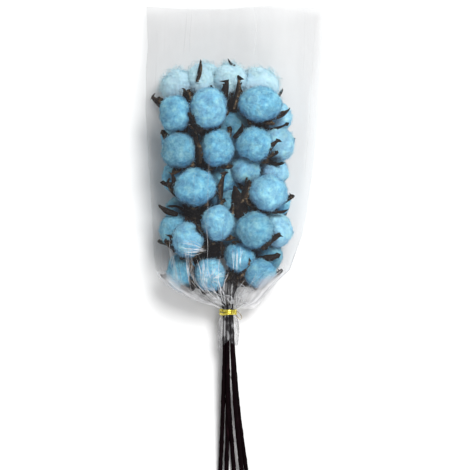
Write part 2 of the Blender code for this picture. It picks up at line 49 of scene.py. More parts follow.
# Where each piece's random draws start. A boll's or a stem's own number is added.
FLUFF_SEED, FIBRE_SEED, WOOD_SEED, FILM_SEED, CREASE_SEED, TIE_SEED = 1000, 2000, 300, 77, 909, 5

# Stems and stalks
STEM_RADIUS = 2.1
STEM_TIP_RADIUS = 1.5
STEM_STEP = 24.0
STEM_FINE_STEP = 3.0
STEM_SIDES = 14
STALK_RADIUS = 1.35
STALK_POINTS = 5
STALK_FINE_POINTS = 12
STALK_SIDES = 9
STALK_DROP = 17.0

# Burrs
CLAW_GAP = 0.6
CLAW_ROOT_ANGLE = 5.0
CLAW_TIP_ANGLE = 112.0
CLAW_LIFT = 8.5
CLAW_LIFT_START = 0.5
CLAW_HALF_WIDTH = 4.4
CLAW_THICKNESS = 1.5
CLAW_STATIONS = 5
CLAW_SHIFTS = (0, 10, -10, 20, -20, 32, -32, 45, -45)
CLAW_LENGTHS = (1.0, 0.85, 0.7, 0.55)
CLAW_ROOM = 2.7
CLAW_WOOD_ROOM = 1.9
CLAW_COTTON_SHARE = 0.8
CLAW_CURL = 1.7
CLAW_PROFILE = ((0, 0.35, 0.7, 1), (0.5, 1, 0.62, 0.07))
CLAW_CHECK = (12, 5)
CUP_RADIUS = 5.2
CUP_HALF_HEIGHT = 2.6
CUP_SIDES, CUP_RINGS = 18, 9
FINE_PROFILE = ((0, 0.2, 0.45, 0.68, 0.8, 0.87, 1), (0.7, 1.0, 1.15, 1.0, 0.7, 0.5, 0.03))
BARB_START, BARB_TOP = 0.86, 0.94
BARB = 2.2
FINE_FLARE = (0.12, 1.1)
FINE_BOW = 3.2
FINE_STATIONS = 17
FINE_ACROSS = 7
HOOK_START = 0.76
HOOK_BACK = 1.3
LOBE_LENGTH = 0.47
LOBE_SPACING = 62
LOBE_BREADTH = 1.2

# Cotton
LOCKS = 4
LOCK_DEPTH = 0.10
LUMP_DEPTH = 0.035
COTTON_GAP = 0.45
BALL_LEVEL = 5
FRONT_BOLLS = 16
FRONT_FIBRES = 2700
BACK_FIBRES = 1150
PALE_FIBRES = 1900
BACK_FILL, PALE_FILL = 1.05, 1.12
FIBRE_TONES = (0.3, 0.25, 0.45)
FIBRE_STEPS = 5
FIBRE_LENGTH = (5, 13)
FIBRE_HALF_WIDTH = (0.08, 0.16)
FIBRE_TAPER = (0.7, 1.0, 1.0, 0.8, 0.0)
CLOSE_LIFT, LOOSE_LIFT, WILD_LIFT = (0.4, 1.0), (0.9, 2.1), (1.4, 4.4)
WILD, EXTRA_WILD = 0.3, 0.65
FAR_LIFT = 1.7
# Bolls drawn lighter or darker than the rest, by number, counted from 0: painted light on the pale top row
# and the light right-hand edge, painted shade on the deep and the inner bolls; the bright ones are drawn a
# little lighter
PAINTED_LIGHT_BOLLS = {"pale": (20, 21, 22, 23), "light": (15, 16, 17, 24), "bright": (1, 3, 8, 10, 12, 13),
                "deep": (6, 9, 18, 19, 33), "inner": (25, 26, 28, 29, 30, 31, 34, 35, 36, 38)}

# How near another piece has to be before it is looked at
NEAR_WOOD = 50
NEAR_CLAWS = 70
NEAR_STEM = 34
NEAR_BURR = 95
NEAR_COTTON = 50

# Sleeve
FILM = 0.7
SLEEVE_GAP = 1.3
SECTION_POWER = 2.2
NECK_X, NECK_Y, NECK_Z = -7.0, -66.5, 24.0
TIE_RADIUS = 8.45

Boll = namedtuple("Boll", "stem centre half faces claws")
Section = namedtuple("Section", "y left right seam rise fall sharp")


def boll(stem, centre, half, faces, claws):
    """A boll: its stem, centre, half widths in X and Y, the way its tip faces, and its claws."""
    depth = (half[0] + half[1]) / 2
    facing = np.array(faces, float)
    return Boll(stem, np.array(centre, float), np.array([*half, depth], float),
                facing / np.linalg.norm(facing), claws)


# The bolls that face the viewer come first, so that their claws have first choice of room.
# A claw is an angle round the boll and a length, where 1 reaches a little past the widest place.
BOLLS = [
    boll(4, (25, 141, 60), (21.5, 17.5), (0.15, 0.60, 0.80), ((-9, 0.9), (144, 1.05), (-45, 0.6))),
    boll(2, (-26, 137, 60), (18.0, 21.0), (-0.15, 0.35, 0.92), ((51, 1.0), (225, 0.9), (140, 1.0))),
    boll(2, (-39.5, 58.5, 62), (20.5, 18.5), (-0.05, 0.72, 0.70), ((12, 1.0), (159, 1.0), (90, 0.9))),
    boll(4, (33, 53, 61), (19.0, 18.0), (0.25, 0.45, 0.85), ((0, 0.85), (150, 0.85), (205, 0.8))),
    boll(3, (-17, 97, 60), (15.5, 18.5), (0.10, 0.60, 0.80), ((62, 1.0), (165, 1.0), (310, 0.7))),
    boll(4, (19.5, 101, 61), (18.0, 16.5), (-0.05, 0.50, 0.85), ((15, 0.75), (114, 0.8), (310, 0.6))),
    boll(1, (-56, 95, 58), (17.0, 17.5), (-0.25, 0.45, 0.85), ((126, 1.05), (20, 1.0), (250, 0.7))),
    boll(1, (-60, 132, 58), (15.0, 18.0), (-0.35, 0.25, 0.90), ((135, 0.95), (60, 1.0), (330, 1.0))),
    boll(3, (-17, 23, 61), (15.5, 17.5), (0.25, 0.55, 0.80), ((90, 1.0), (200, 0.9), (330, 0.7))),
    boll(4, (20, 16, 60), (19.0, 18.0), (-0.30, 0.50, 0.80), ((-15, 0.75), (80, 0.9), (190, 0.8))),
    boll(1, (-47.5, 6, 55), (15.5, 17.0), (-0.05, 0.55, 0.80), ((170, 0.9), (75, 1.0), (-20, 0.9))),
    boll(4, (25.5, -28, 50), (15.5, 14.5), (0.10, 0.60, 0.78), ((15, 0.9), (117, 0.8), (200, 0.7))),
    boll(2, (-25, -29, 50), (15.0, 16.0), (0.15, 0.60, 0.78), ((40, 1.0), (110, 1.0), (205, 1.0))),
    boll(3, (11.5, 76, 46), (15.5, 14.5), (0.10, 0.55, 0.80), ((70, 0.9), (160, 0.9), (340, 0.8))),
    boll(3, (5, -10.5, 48), (14.5, 16.5), (0.05, 0.60, 0.80), ((60, 0.9), (150, 1.0), (270, 0.7))),
    boll(5, (43, 102, 42), (16.5, 17.0), (0.75, 0.45, 0.45), ((45, 1.0), (165, 1.0), (285, 0.9))),
    boll(5, (38, 73, 35), (15.5, 15.5), (0.85, 0.35, -0.10), ((75, 1.0), (180, 1.0))),
    boll(5, (41, 16, 38), (16.0, 17.0), (0.70, 0.50, 0.30), ((84, 1.1), (190, 1.0), (310, 0.9))),
    boll(1, (-60, 16, 37), (15.0, 16.0), (-0.75, 0.25, 0.40), ((81, 1.2), (190, 1.0), (320, 0.9))),
    boll(1, (-54, -27, 32), (14.0, 19.0), (-0.70, 0.25, 0.55), ((183, 1.1), (60, 1.0), (290, 1.0))),
    boll(2, (-31, 165, 30), (16.5, 17.5), (0.10, 0.90, 0.35), ((99, 1.0), (5, 0.9), (185, 0.9))),
    boll(3, (-5, 166, 38), (15.5, 15.5), (0.05, 0.75, 0.60), ((90, 0.95), (20, 0.9), (170, 0.9))),
    boll(4, (24, 161, 26), (18.5, 17.0), (0.35, 0.85, -0.10), ((30, 1.0), (150, 1.0))),
    boll(1, (-57, 160, 28), (16.0, 16.0), (-0.60, 0.75, 0.10), ((30, 1.0), (90, 0.9))),
    boll(5, (41, 129, 30), (15.5, 16.0), (0.80, 0.50, 0.00), ((60, 1.0), (300, 1.0))),
    boll(3, (-2, 120, 36), (16.0, 17.0), (0.05, 0.70, 0.60), ((100, 1.0), (200, 0.9))),
    boll(2, (-31, 39, 23), (17.0, 18.0), (-0.10, 0.55, -0.80), ((30, 1.0), (210, 1.0))),
    boll(1, (-56, 70, 25), (16.5, 17.0), (-0.75, 0.35, -0.30), ((80, 1.0), (200, 1.0))),
    boll(5, (31.5, -10, 27), (16.0, 16.0), (0.70, 0.30, -0.20), ((60, 1.0), (300, 1.0))),
    boll(1, (-54, 36, 20), (15.0, 15.0), (-0.75, 0.20, -0.40), ((60, 1.0), (300, 1.0))),
    boll(2, (-30, 96, 22), (16.0, 17.0), (0.10, 0.55, -0.80), ((30, 1.0), (210, 1.0))),
    boll(2, (-28, 129, 22), (16.0, 16.0), (0.10, 0.50, -0.80), ((30, 1.0), (210, 1.0))),
    boll(1, (-57, 108, 24), (16.0, 17.0), (-0.60, 0.50, -0.50), ((80, 1.0), (260, 1.0))),
    boll(3, (-9, 68, 34), (15.0, 16.0), (-0.20, 0.60, 0.60), ((60, 0.9), (200, 0.9))),
    boll(3, (0, 42, 37), (16.0, 16.0), (0.10, 0.60, 0.60), ((60, 0.9), (200, 0.9))),
    boll(3, (0, 13, 34), (15.0, 15.5), (0.00, 0.60, 0.60), ((60, 0.9), (200, 0.9))),
    boll(2, (-27, 4, 22), (15.0, 16.0), (0.10, 0.55, -0.80), ((30, 1.0), (210, 1.0))),
    boll(5, (40, 44, 22), (15.0, 15.0), (0.70, 0.50, -0.40), ((80, 1.0), (260, 1.0))),
    boll(3, (3, 94, 30), (14.0, 14.5), (0.10, 0.60, 0.60), ((75, 0.9),)),
]

# Each stem's way from its cut end, through the neck, and up between the layers of bolls.
STEM_ROUTES = {
    1: ((-15.6, -243.67, 2.2), (-12.0, -155, 13.1), (-11, -66, 24), (-22, -42, 29), (-37, -14, 37),
        (-45, 15, 41), (-51, 50, 42), (-50, 90, 41), (-49, 122, 38), (-50, 140, 35)),
    2: ((-8.8, -243.67, 2.2), (-7.4, -155, 15.6), (-8.2, -66, 27.8), (-14, -42, 35), (-27, -12, 39),
        (-33, 20, 42), (-31, 60, 41), (-30, 100, 41), (-30, 126, 38), (-31, 142, 34)),
    3: ((0.3, -243.67, 2.2), (-6.4, -155, 10.6), (-8.2, -66, 20.2), (-6, -42, 21), (-5, -12, 19),
        (-6, 25, 17), (-6, 65, 15), (-6, 100, 15), (-6, 128, 19), (-5, 144, 25)),
    4: ((8.2, -243.67, 7.2), (-0.3, -155, 17.0), (-3.8, -66, 26.4), (-1, -44, 31.5), (12.5, -18, 38.5),
        (23, 20, 41), (25, 60, 42), (22, 100, 42), (22, 126, 38), (22, 140, 34)),
    5: ((13.4, -243.67, 2.2), (2.2, -155, 11.8), (-3.8, -66, 21.6), (0, -42, 18), (10, -18, 12),
        (26, 15, 12), (28, 50, 18), (29, 75, 23), (28, 100, 28), (29, 120, 31)),
}

# The sleeve's sections: place, left and right seam, seam height, rise above and fall below the
# seams, and how sharply the two faces meet at a seam.
SLEEVE = [
    Section(244, -91, 91, 12, 21, 11, 0.80),
    Section(200, -89, 90, 16, 37, 17, 0.70),
    Section(180, -91, 88, 21, 52, 23, 0.58),
    Section(160, -91, 86, 25, 58, 28, 0.50),
    Section(135, -91, 85, 27, 58, 31, 0.46),
    Section(85, -88, 80, 27, 58, 31, 0.46),
    Section(35, -85, 73, 27, 58, 31, 0.46),
    Section(10, -83, 68, 27, 57, 31, 0.46),
    Section(-10, -82, 61, 27, 56, 30, 0.47),
    Section(-24, -80, 56, 27, 52, 29, 0.48),
    Section(-34, -75, 45, 27, 46, 27.5, 0.50),
    Section(-43, -64, 37, 26, 37, 25, 0.52),
    Section(-51, -50, 30, 25.5, 25, 17, 0.55),
    Section(-57, -36, 24, 25, 17, 12, 0.55),
    Section(-61.5, -19, 10, 24.4, 10, 9, 0.5),
    Section(-64.5, -14.3, 0.3, 24, 7.3, 7.3, 0.5),
    Section(-68.5, -14.3, 0.3, 24, 7.3, 7.3, 0.5),
    Section(-76, -17.5, 4.5, 22.8, 9.5, 8.5, 0.5),
    Section(-89, -18.5, 5.5, 21.4, 10, 8.5, 0.5),
    Section(-102, -17.5, 4.0, 20, 9, 8.5, 0.5),
]


def smooth_path(points, step):
    """Points about `step` apart on a Catmull-Rom curve through the given points."""
    p = np.array(points, float)
    p = np.vstack([2 * p[0] - p[1], p, 2 * p[-1] - p[-2]])
    path = []
    for a, b, c, d in zip(p, p[1:], p[2:], p[3:]):
        pieces = max(1, round(np.linalg.norm(c - b) / step))
        for t in np.arange(pieces) / pieces:
            path.append(0.5 * (2 * b + (c - a) * t + (2 * a - 5 * b + 4 * c - d) * t * t
                               + (3 * b - a - 3 * c + d) * t ** 3))
    return np.array(path + [p[-2]])


def boll_axes(one):
    """The boll's own axes: across, across again, and towards its tip."""
    across = np.array([1.0, 0.0, 0.0]) - one.faces[0] * one.faces
    across /= np.linalg.norm(across)
    return across, np.cross(one.faces, across), one.faces


def reach(one, directions):
    """How far the boll's ellipsoid reaches from its centre in these directions."""
    return 1 / np.sqrt(((directions / one.half) ** 2).sum(-1))


def base_of(one, beyond):
    return one.centre - one.faces * (reach(one, -one.faces) + beyond)


def section_at(y):
    ys = [s.y for s in SLEEVE][::-1]
    return Section(y, *(np.interp(y, ys, [getattr(s, key) for s in SLEEVE][::-1])
                        for key in Section._fields[1:]))


def inside_sleeve(points, margin):
    """Which points lie inside the sleeve by at least the margin."""
    x, y, z = points[..., 0], points[..., 1], points[..., 2]
    cut = section_at(y)
    half = (cut.right - cut.left) / 2 - margin
    u = np.abs(x - (cut.right + cut.left) / 2) / half
    bulge = np.clip(1 - u ** SECTION_POWER, 0, 1) ** cut.sharp
    top = cut.seam + cut.rise * bulge - margin
    bottom = np.maximum(cut.seam - cut.fall * bulge, 0) + margin
    return (u < 1) & (z < top) & (z > bottom)


def pulled_inside(points, home, margin):
    """Each point moved towards home until it lies inside the sleeve."""
    low, high = np.zeros(points.shape[:-1]), np.ones(points.shape[:-1])
    ways = points - home
    for _ in range(18):
        middle = (low + high) / 2
        fits = inside_sleeve(home + ways * middle[..., None], margin)
        low, high = np.where(fits, middle, low), np.where(fits, high, middle)
    whole = inside_sleeve(points, margin)
    return np.where(whole[..., None], points, home + ways * low[..., None])


def claw_grid(one, angle, length, stations, across, profile=CLAW_PROFILE,
              flare=(CLAW_LIFT_START, CLAW_CURL)):
    """Points on a claw's inner face, station by station from root to tip, and its outward ways."""
    u, v, tip = boll_axes(one)
    turn = math.radians(angle)
    s = np.linspace(0, 1, stations)
    open_angle = np.radians(CLAW_ROOT_ANGLE + (CLAW_TIP_ANGLE * length - CLAW_ROOT_ANGLE) * s)
    radial = u * math.cos(turn) + v * math.sin(turn)
    side = v * math.cos(turn) - u * math.sin(turn)
    out = radial * np.sin(open_angle)[:, None] - tip * np.cos(open_angle)[:, None]
    lift = np.clip((s - flare[0]) / (1 - flare[0]), 0, 1) ** flare[1]
    distance = reach(one, out) + CLAW_GAP + CLAW_LIFT * length * lift
    middle = one.centre + out * distance[:, None]
    middle = pulled_inside(middle, one.centre, FILM + SLEEVE_GAP + CLAW_THICKNESS)
    width = CLAW_HALF_WIDTH * np.interp(s, *profile)
    w = np.linspace(-1, 1, across)
    return middle[:, None] + side * (width[:, None] * w)[..., None], out


def claw_rings(one, angle, length):
    """Three corners for each station: the inner face's two edges and the ridge outside."""
    grid, out = claw_grid(one, angle, length, CLAW_STATIONS, 3)
    thick = CLAW_THICKNESS * np.interp(np.linspace(0, 1, CLAW_STATIONS), (0, 0.7, 1), (1, 0.9, 0.45))
    ridge = grid[:, 1] + out * thick[:, None]
    rings = np.stack([grid[:, 0], grid[:, 2], ridge], axis=1)
    return pulled_inside(rings, one.centre, FILM + SLEEVE_GAP)


def stalk_path(one, stem_path, count):
    """A boll's own short stalk, from a point lower on its stem to the cup."""
    foot_y = base_of(one, 0)[1] - STALK_DROP
    at = int(np.clip(np.searchsorted(stem_path[:, 1], foot_y), 1, len(stem_path) - 2))
    foot = stem_path[at]
    along = stem_path[at + 1] - stem_path[at - 1]
    along /= np.linalg.norm(along)
    end = base_of(one, CUP_HALF_HEIGHT)
    pull = 0.38 * np.linalg.norm(end - foot)
    a, b = foot + along * pull, end - one.faces * pull
    t = np.linspace(0, 1, count)[:, None]
    return ((1 - t) ** 3 * foot + 3 * (1 - t) ** 2 * t * a + 3 * (1 - t) * t * t * b + t ** 3 * end)


def to_segment(points, start, end):
    """Distances from points to the segment between start and end."""
    way = end - start
    t = np.clip((points - start) @ way / (way @ way), 0, 1)
    return np.linalg.norm(points - start - t[..., None] * way, axis=-1)


def clear_of_cotton(points, one):
    return all((((points - other.centre) / other.half) ** 2).sum(-1).min() > CLAW_COTTON_SHARE ** 2
               for other in BOLLS if other is not one)


def clear_of_wood(points, one, wood):
    return all(to_segment(points, a, b).min() > radius + CLAW_WOOD_ROOM
               for stem, a, b, radius in wood
               if stem != one.stem and np.linalg.norm(a - one.centre) < NEAR_WOOD)


def clear_of_claws(points, one, placed):
    return all(np.linalg.norm(points[:, None] - other, axis=-1).min() > CLAW_ROOM
               for stem, home, other in placed
               if stem != one.stem and np.linalg.norm(home - one.centre) < NEAR_CLAWS)


def lay_out():
    """Every stem's path, stalks and claws, by the rule that the CAD model follows. Each claw is
    kept as its angle and length."""
    paths = {stem: smooth_path(route, STEM_STEP) for stem, route in STEM_ROUTES.items()}
    stalks = [stalk_path(one, paths[one.stem], STALK_POINTS) for one in BOLLS]
    wood = [(stem, a, b, STEM_RADIUS) for stem, path in paths.items() for a, b in zip(path, path[1:])]
    for one, stalk in zip(BOLLS, stalks):
        wood += [(one.stem, a, b, STALK_RADIUS) for a, b in zip(stalk, stalk[1:])]
        wood.append((one.stem, base_of(one, 1), base_of(one, 4), CUP_RADIUS))
    claws, placed = [], []
    for one in BOLLS:
        kept = []
        for angle, whole in one.claws:
            for share, shift in itertools.product(CLAW_LENGTHS, CLAW_SHIFTS):
                length = whole * share
                grid, _ = claw_grid(one, angle + shift, length, *CLAW_CHECK)
                points = grid[2:].reshape(-1, 3)
                if (clear_of_cotton(points, one) and clear_of_wood(points, one, wood)
                        and clear_of_claws(points, one, placed)):
                    kept.append((angle + shift, length))
                    placed.append((one.stem, one.centre, points))
                    break
        claws.append(kept)
    return paths, stalks, claws


def limits_round(index, paths, stalks, claws):
    """Flat limits (normal, distance from the boll's centre) that keep its cotton off all wood
    and off its neighbours' cotton. The cotton stays on the near side of every one."""
    one = BOLLS[index]
    limits = []

    def add(corners, radius):
        corners = np.asarray(corners) - one.centre
        tries = np.vstack([corners, corners.mean(0)])
        tries /= np.linalg.norm(tries, axis=1)[:, None]
        clear = (tries @ corners.T).min(1) - radius
        best = int(clear.argmax())
        if clear[best] < one.half.max() + 2:
            limits.append((tries[best], clear[best] - COTTON_GAP))

    for path in paths.values():
        for a, b in zip(path, path[1:]):
            way = b - a
            t = np.clip((one.centre - a) @ way / (way @ way), 0, 1)
            if np.linalg.norm(a + t * way - one.centre) < NEAR_STEM:
                add([a, b, a + t * way], STEM_RADIUS)
    for other, stalk, kept in zip(BOLLS, stalks, claws):
        if np.linalg.norm(other.centre - one.centre) > NEAR_BURR:
            continue
        for a, b in zip(stalk, stalk[1:]):
            add([a, (a + b) / 2, b], STALK_RADIUS)
        cup_reach = CUP_HALF_HEIGHT if other is one else CUP_RADIUS
        add([base_of(other, CUP_HALF_HEIGHT + CLAW_GAP)], cup_reach)
        for angle, length in kept:
            rings = claw_rings(other, angle, length)
            for a, b in zip(rings, rings[1:]):
                add(np.vstack([a, b]), 0)
        between = other.centre - one.centre
        apart = np.linalg.norm(between)
        if 0 < apart < NEAR_COTTON:
            way = between / apart
            mine, theirs = reach(one, way), reach(other, -way)
            limits.append((way, (apart ** 2 + mine ** 2 - theirs ** 2) / (2 * apart) - COTTON_GAP))
    normals = np.array([n for n, _ in limits])
    depths = np.array([d for _, d in limits])
    near = depths < reach(one, normals) + 1
    return normals[near], depths[near]


# Shared mesh helpers


def waves(points, rng, wavelength, count):
    """Smooth noise near -1 to 1: a sum of plane waves about one wavelength long."""
    ways = rng.normal(size=(count, 3))
    ways /= np.linalg.norm(ways, axis=1)[:, None]
    pace = 2 * math.pi / (wavelength * rng.uniform(0.7, 1.4, count))
    phases = rng.uniform(0, 2 * math.pi, count)
    return np.sin(points @ (ways * pace[:, None]).T + phases).sum(-1) * 1.4 / math.sqrt(count)


def unit(vectors):
    return vectors / np.maximum(np.linalg.norm(vectors, axis=-1, keepdims=True), 1e-9)


def mesh_from(name, points, triangles, normals=None):
    """A mesh in metres from points in millimetres and triangles of point numbers."""
    mesh = bpy.data.meshes.new(name)
    mesh.vertices.add(len(points))
    mesh.vertices.foreach_set("co", (np.asarray(points, np.float32) * MM).ravel())
    mesh.loops.add(len(triangles) * 3)
    mesh.loops.foreach_set("vertex_index", np.asarray(triangles, np.int32).ravel())
    mesh.polygons.add(len(triangles))
    mesh.polygons.foreach_set("loop_start", np.arange(len(triangles), dtype=np.int32) * 3)
    mesh.update(calc_edges=True)
    mesh.validate()
    mesh.shade_smooth()
    if normals is not None:
        mesh.normals_split_custom_set_from_vertices(normals.astype(np.float32))
    return mesh


def set_value(mesh, name, values):
    """Gives each point of the mesh a value of this name, which a material reads."""
    kept = mesh.attributes.new(name, "FLOAT", "POINT")
    kept.data.foreach_set("value", values.astype(np.float32))


def place(name, mesh, materials, slot, *nodes):
    """The mesh as a piece that rides on the bunch and stands for these CAD nodes."""
    obj = bpy.data.objects.new(name, mesh)
    bpy.context.scene.collection.objects.link(obj)
    for look in materials:
        mesh.materials.append(look)
    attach(obj, BODY)
    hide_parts(*nodes)
    return obj


def loft(rings, close_ends=True):
    """Points and triangles of a skin through rings with the same number of points each."""
    rings = np.asarray(rings)
    count, sides = rings.shape[:2]
    points = rings.reshape(-1, 3)
    a = (np.arange(count - 1)[:, None] * sides + np.arange(sides)).ravel()
    b = (np.arange(count - 1)[:, None] * sides + np.roll(np.arange(sides), -1)).ravel()
    triangles = np.vstack([np.stack([a, b, b + sides], 1), np.stack([a, b + sides, a + sides], 1)])
    if close_ends:
        first, last = len(points), len(points) + 1
        points = np.vstack([points, rings[0].mean(0), rings[-1].mean(0)])
        k = np.arange(sides)
        n = np.roll(k, -1)
        end = (count - 1) * sides
        triangles = np.vstack([triangles, np.stack([n, k, np.full(sides, first)], 1),
                               np.stack([k + end, n + end, np.full(sides, last)], 1)])
    return points, triangles


def merged(shapes):
    """Several (points, triangles, material number) as one, with a material number a triangle."""
    points, triangles, numbers, start = [], [], [], 0
    for some, faces, number in shapes:
        points.append(some)
        triangles.append(faces + start)
        numbers.append(np.full(len(faces), number))
        start += len(some)
    return np.vstack(points), np.vstack(triangles), np.concatenate(numbers)


def tube_rings(path, radii, sides, rng, roughness):
    """Rings round a path, each turned as little as can be from the last, with a knobbly radius."""
    path = np.asarray(path)
    along = unit(np.gradient(path, axis=0))
    across = unit(np.cross(along[0], [0.3, 0.1, 1.0]))
    rings = []
    turns = np.arange(sides) * 2 * math.pi / sides
    for point, way, radius in zip(path, along, radii):
        across = unit(across - way * (across @ way))
        other = np.cross(way, across)
        rings.append(point + radius * (across * np.cos(turns)[:, None] + other * np.sin(turns)[:, None]))
    rings = np.array(rings)
    bumps = waves(rings, rng, 5.0, 12) * 0.6 + waves(rings, rng, 2.2, 12) * 0.4
    outward = unit(rings - path[:, None])
    return rings + outward * (bumps * roughness)[..., None]


# Materials

# The dye's dark, middle and light colours, and its white. Each shade has its own strength of colour and
# share of white, and so paints a boll's light or shade: painted light on the pale and light bolls, painted
# shade on the deep and inner ones.
COTTON_STOPS = ((0.065, 0.33, 0.59), (0.19, 0.58, 0.79), (0.45, 0.86, 0.94))
COTTON_WHITE = (0.80, 0.95, 0.97)
# DEEPEST makes the darkest colour, which painted shade reaches, and DEPTH_SHADE is the most painted shade a
# point can hold.
DEEPEST = 0.2
DEPTH_SHADE = 0.44
PAINTED_LIGHT_SHADES = {"inner": (0.72, 0.0), "plain": (1.02, 0.0), "deep": (0.86, 0.0), "bright": (1.1, 0.09),
                 "light": (1.14, 0.24), "pale": (1.2, 0.62)}


def new_material(name):
    made = bpy.data.materials.new(name)
    made.use_nodes = True
    return made, made.node_tree, made.node_tree.nodes["Principled BSDF"]


def add_node(tree, kind, **values):
    """A shader node with its properties, or its inputs where the name is a socket's."""
    node = tree.nodes.new(kind)
    for key, value in values.items():
        if hasattr(node, key):
            setattr(node, key, value)
        else:
            node.inputs[key.replace("_", " ")].default_value = value
    return node


def stretched(tree, scale):
    """Object coordinates, stretched so that a pattern runs along the bunch."""
    coords = tree.nodes.new("ShaderNodeTexCoord")
    mapping = add_node(tree, "ShaderNodeMapping", Scale=scale)
    tree.links.new(coords.outputs["Object"], mapping.inputs["Vector"])
    return mapping.outputs["Vector"]


def noise(tree, vector, scale, detail=4.0, roughness=0.6):
    node = add_node(tree, "ShaderNodeTexNoise", Scale=scale, Detail=detail, Roughness=roughness)
    tree.links.new(vector, node.inputs["Vector"])
    return node.outputs["Fac"]


def ramp(tree, factor, stops):
    """Colours along a factor. Each stop is (place, colour)."""
    node = tree.nodes.new("ShaderNodeValToRGB")
    elements = node.color_ramp.elements
    while len(elements) < len(stops):
        elements.new(0.5)
    for element, (where, colour) in zip(elements, stops):
        element.position = where
        element.color = (*colour, 1.0)
    tree.links.new(factor, node.inputs["Fac"])
    return node.outputs["Color"]


def bump(tree, shader, height, strength, distance):
    node = add_node(tree, "ShaderNodeBump", Strength=strength, Distance=distance)
    tree.links.new(height, node.inputs["Height"])
    tree.links.new(node.outputs["Normal"], shader.inputs["Normal"])


def cotton_material(name, dark, middle, light):
    """Dyed cotton in soft tufts, with painted shade: darker where the mesh's depth value says so."""
    made, tree, shader = new_material(name)
    vector = stretched(tree, (1, 1, 1))
    # The depth value is painted shade: it pulls the colour towards the dark stops.
    depth = add_node(tree, "ShaderNodeAttribute", attribute_name="depth")
    tone = add_node(tree, "ShaderNodeMath", operation="SUBTRACT", use_clamp=True)
    tree.links.new(noise(tree, vector, 125.0, 8.0, 0.72), tone.inputs[0])
    tree.links.new(depth.outputs["Fac"], tone.inputs[1])
    deepest = tuple(DEEPEST * c ** 1.3 for c in dark)
    stops = [(0.08, deepest), (0.3, dark), (0.49, middle), (0.7, light)]
    tree.links.new(ramp(tree, tone.outputs[0], stops), shader.inputs["Base Color"])
    shader.inputs["Roughness"].default_value = 1.0
    shader.inputs["Specular IOR Level"].default_value = 0.05
    shader.inputs["Sheen Weight"].default_value = 0.25
    shader.inputs["Sheen Roughness"].default_value = 0.6
    shader.inputs["Sheen Tint"].default_value = (0.7, 0.9, 1.0, 1.0)
    bump(tree, shader, noise(tree, vector, 700.0, 4.0, 0.7), 0.5, 0.0006)
    return made


def cotton_looks(name, strength, white):
    """Three tones of one dyed cotton: deep, middle and light. The strength and the share of white carry the
    boll's painted light or shade.
    """
    looks = []
    for tone, share, more in (("deep", 0.8, 0.0), ("middle", 1.0, 0.02), ("light", 1.08, 0.2)):
        mix = min(1, white + more)
        stops = [tuple(min(0.97, c * strength * share * (1 - mix) + w * mix)
                       for c, w in zip(colour, COTTON_WHITE)) for colour in COTTON_STOPS]
        looks.append(cotton_material(f"{name}_{tone}", *stops))
    return looks


def patterned(name, scale, pattern, stops, relief, **values):
    """A look whose colours follow one noise and whose relief follows another. A pattern is the
    noise's settings, and a relief is its noise's settings, its strength and its depth."""
    made, tree, shader = new_material(name)
    vector = stretched(tree, scale)
    tree.links.new(ramp(tree, noise(tree, vector, *pattern), stops), shader.inputs["Base Color"])
    for socket, value in values.items():
        shader.inputs[socket.replace("_", " ")].default_value = value
    if relief:
        settings, strength, distance = relief
        bump(tree, shader, noise(tree, vector, *settings), strength, distance)
    return made


def burr_look(name, stops, roughness, grain):
    return patterned(name, (1, 1, 1), (grain, 6.0, 0.65), stops, ((grain * 2.5, 5.0, 0.7), 0.55, 0.0005),
                     Roughness=roughness, Specular_IOR_Level=0.15)


def wood_looks():
    """Bark, and the outside and the inside of a burr."""
    bark = patterned("stem_bark", (1, 0.12, 1), (500.0,),
                     [(0.3, (0.0015, 0.0005, 0.0008)), (0.6, (0.005, 0.0015, 0.0025)),
                      (0.85, (0.025, 0.007, 0.01))],
                     ((900.0, 6.0, 0.7), 0.5, 0.0004), Roughness=0.8, Specular_IOR_Level=0.03)
    outside = burr_look("burr_outside", [(0.34, (0.004, 0.0025, 0.002)), (0.52, (0.012, 0.007, 0.005)),
                                         (0.72, (0.05, 0.03, 0.018))], 0.6, 300.0)
    inside = burr_look("burr_inside", [(0.34, (0.012, 0.007, 0.004)), (0.52, (0.05, 0.03, 0.016)),
                                       (0.7, (0.38, 0.27, 0.15))], 0.5, 240.0)
    return [bark, outside, inside]


def film_material():
    """Clear film: nearly all see-through, darker edge-on, cloudier where it is gathered, and with
    faint streaks along its length."""
    made, tree, shader = new_material("clear_film")
    gather = add_node(tree, "ShaderNodeAttribute", attribute_name="gather")
    edge = add_node(tree, "ShaderNodeLayerWeight", Blend=0.3)
    streaks = noise(tree, stretched(tree, (1, 0.05, 1)), 90.0, 3.0, 0.6)
    total = None
    for source, share in ((edge.outputs["Facing"], 0.09), (gather.outputs["Fac"], 0.6), (streaks, 0.07)):
        sum_node = add_node(tree, "ShaderNodeMath", operation="MULTIPLY_ADD", use_clamp=True)
        tree.links.new(source, sum_node.inputs[0])
        sum_node.inputs[1].default_value = share
        sum_node.inputs[2].default_value = FILM_VEIL
        if total:
            tree.links.new(total, sum_node.inputs[2])
        total = sum_node.outputs[0]
    tree.links.new(total, shader.inputs["Alpha"])
    grey = ramp(tree, total, [(0.14, (0.14, 0.14, 0.15)), (0.28, (0.7, 0.7, 0.72)),
                              (0.6, (0.93, 0.93, 0.95))])
    tree.links.new(grey, shader.inputs["Base Color"])
    shader.inputs["Roughness"].default_value = 0.2
    shader.inputs["IOR"].default_value = 1.45
    shader.inputs["Specular IOR Level"].default_value = 0.4
    bump(tree, shader, noise(tree, stretched(tree, (1, 0.3, 1)), 45.0, 4.0, 0.55), 0.3, 0.002)
    return made


def film_looks():
    """The film, its milky creases that also carry a painted highlight, its creases with painted shade, and
    its faint light streaks, partly a painted highlight along folds.
    """
    return [film_material(), crease_material("film_crease", (0.95, 0.97, 1.0), 0.8, 0.25),
            crease_material("film_shade", (0.10, 0.10, 0.11), 0.34, 0.3),
            crease_material("film_streak", (0.95, 0.95, 0.97), 0.26, 0.35)]


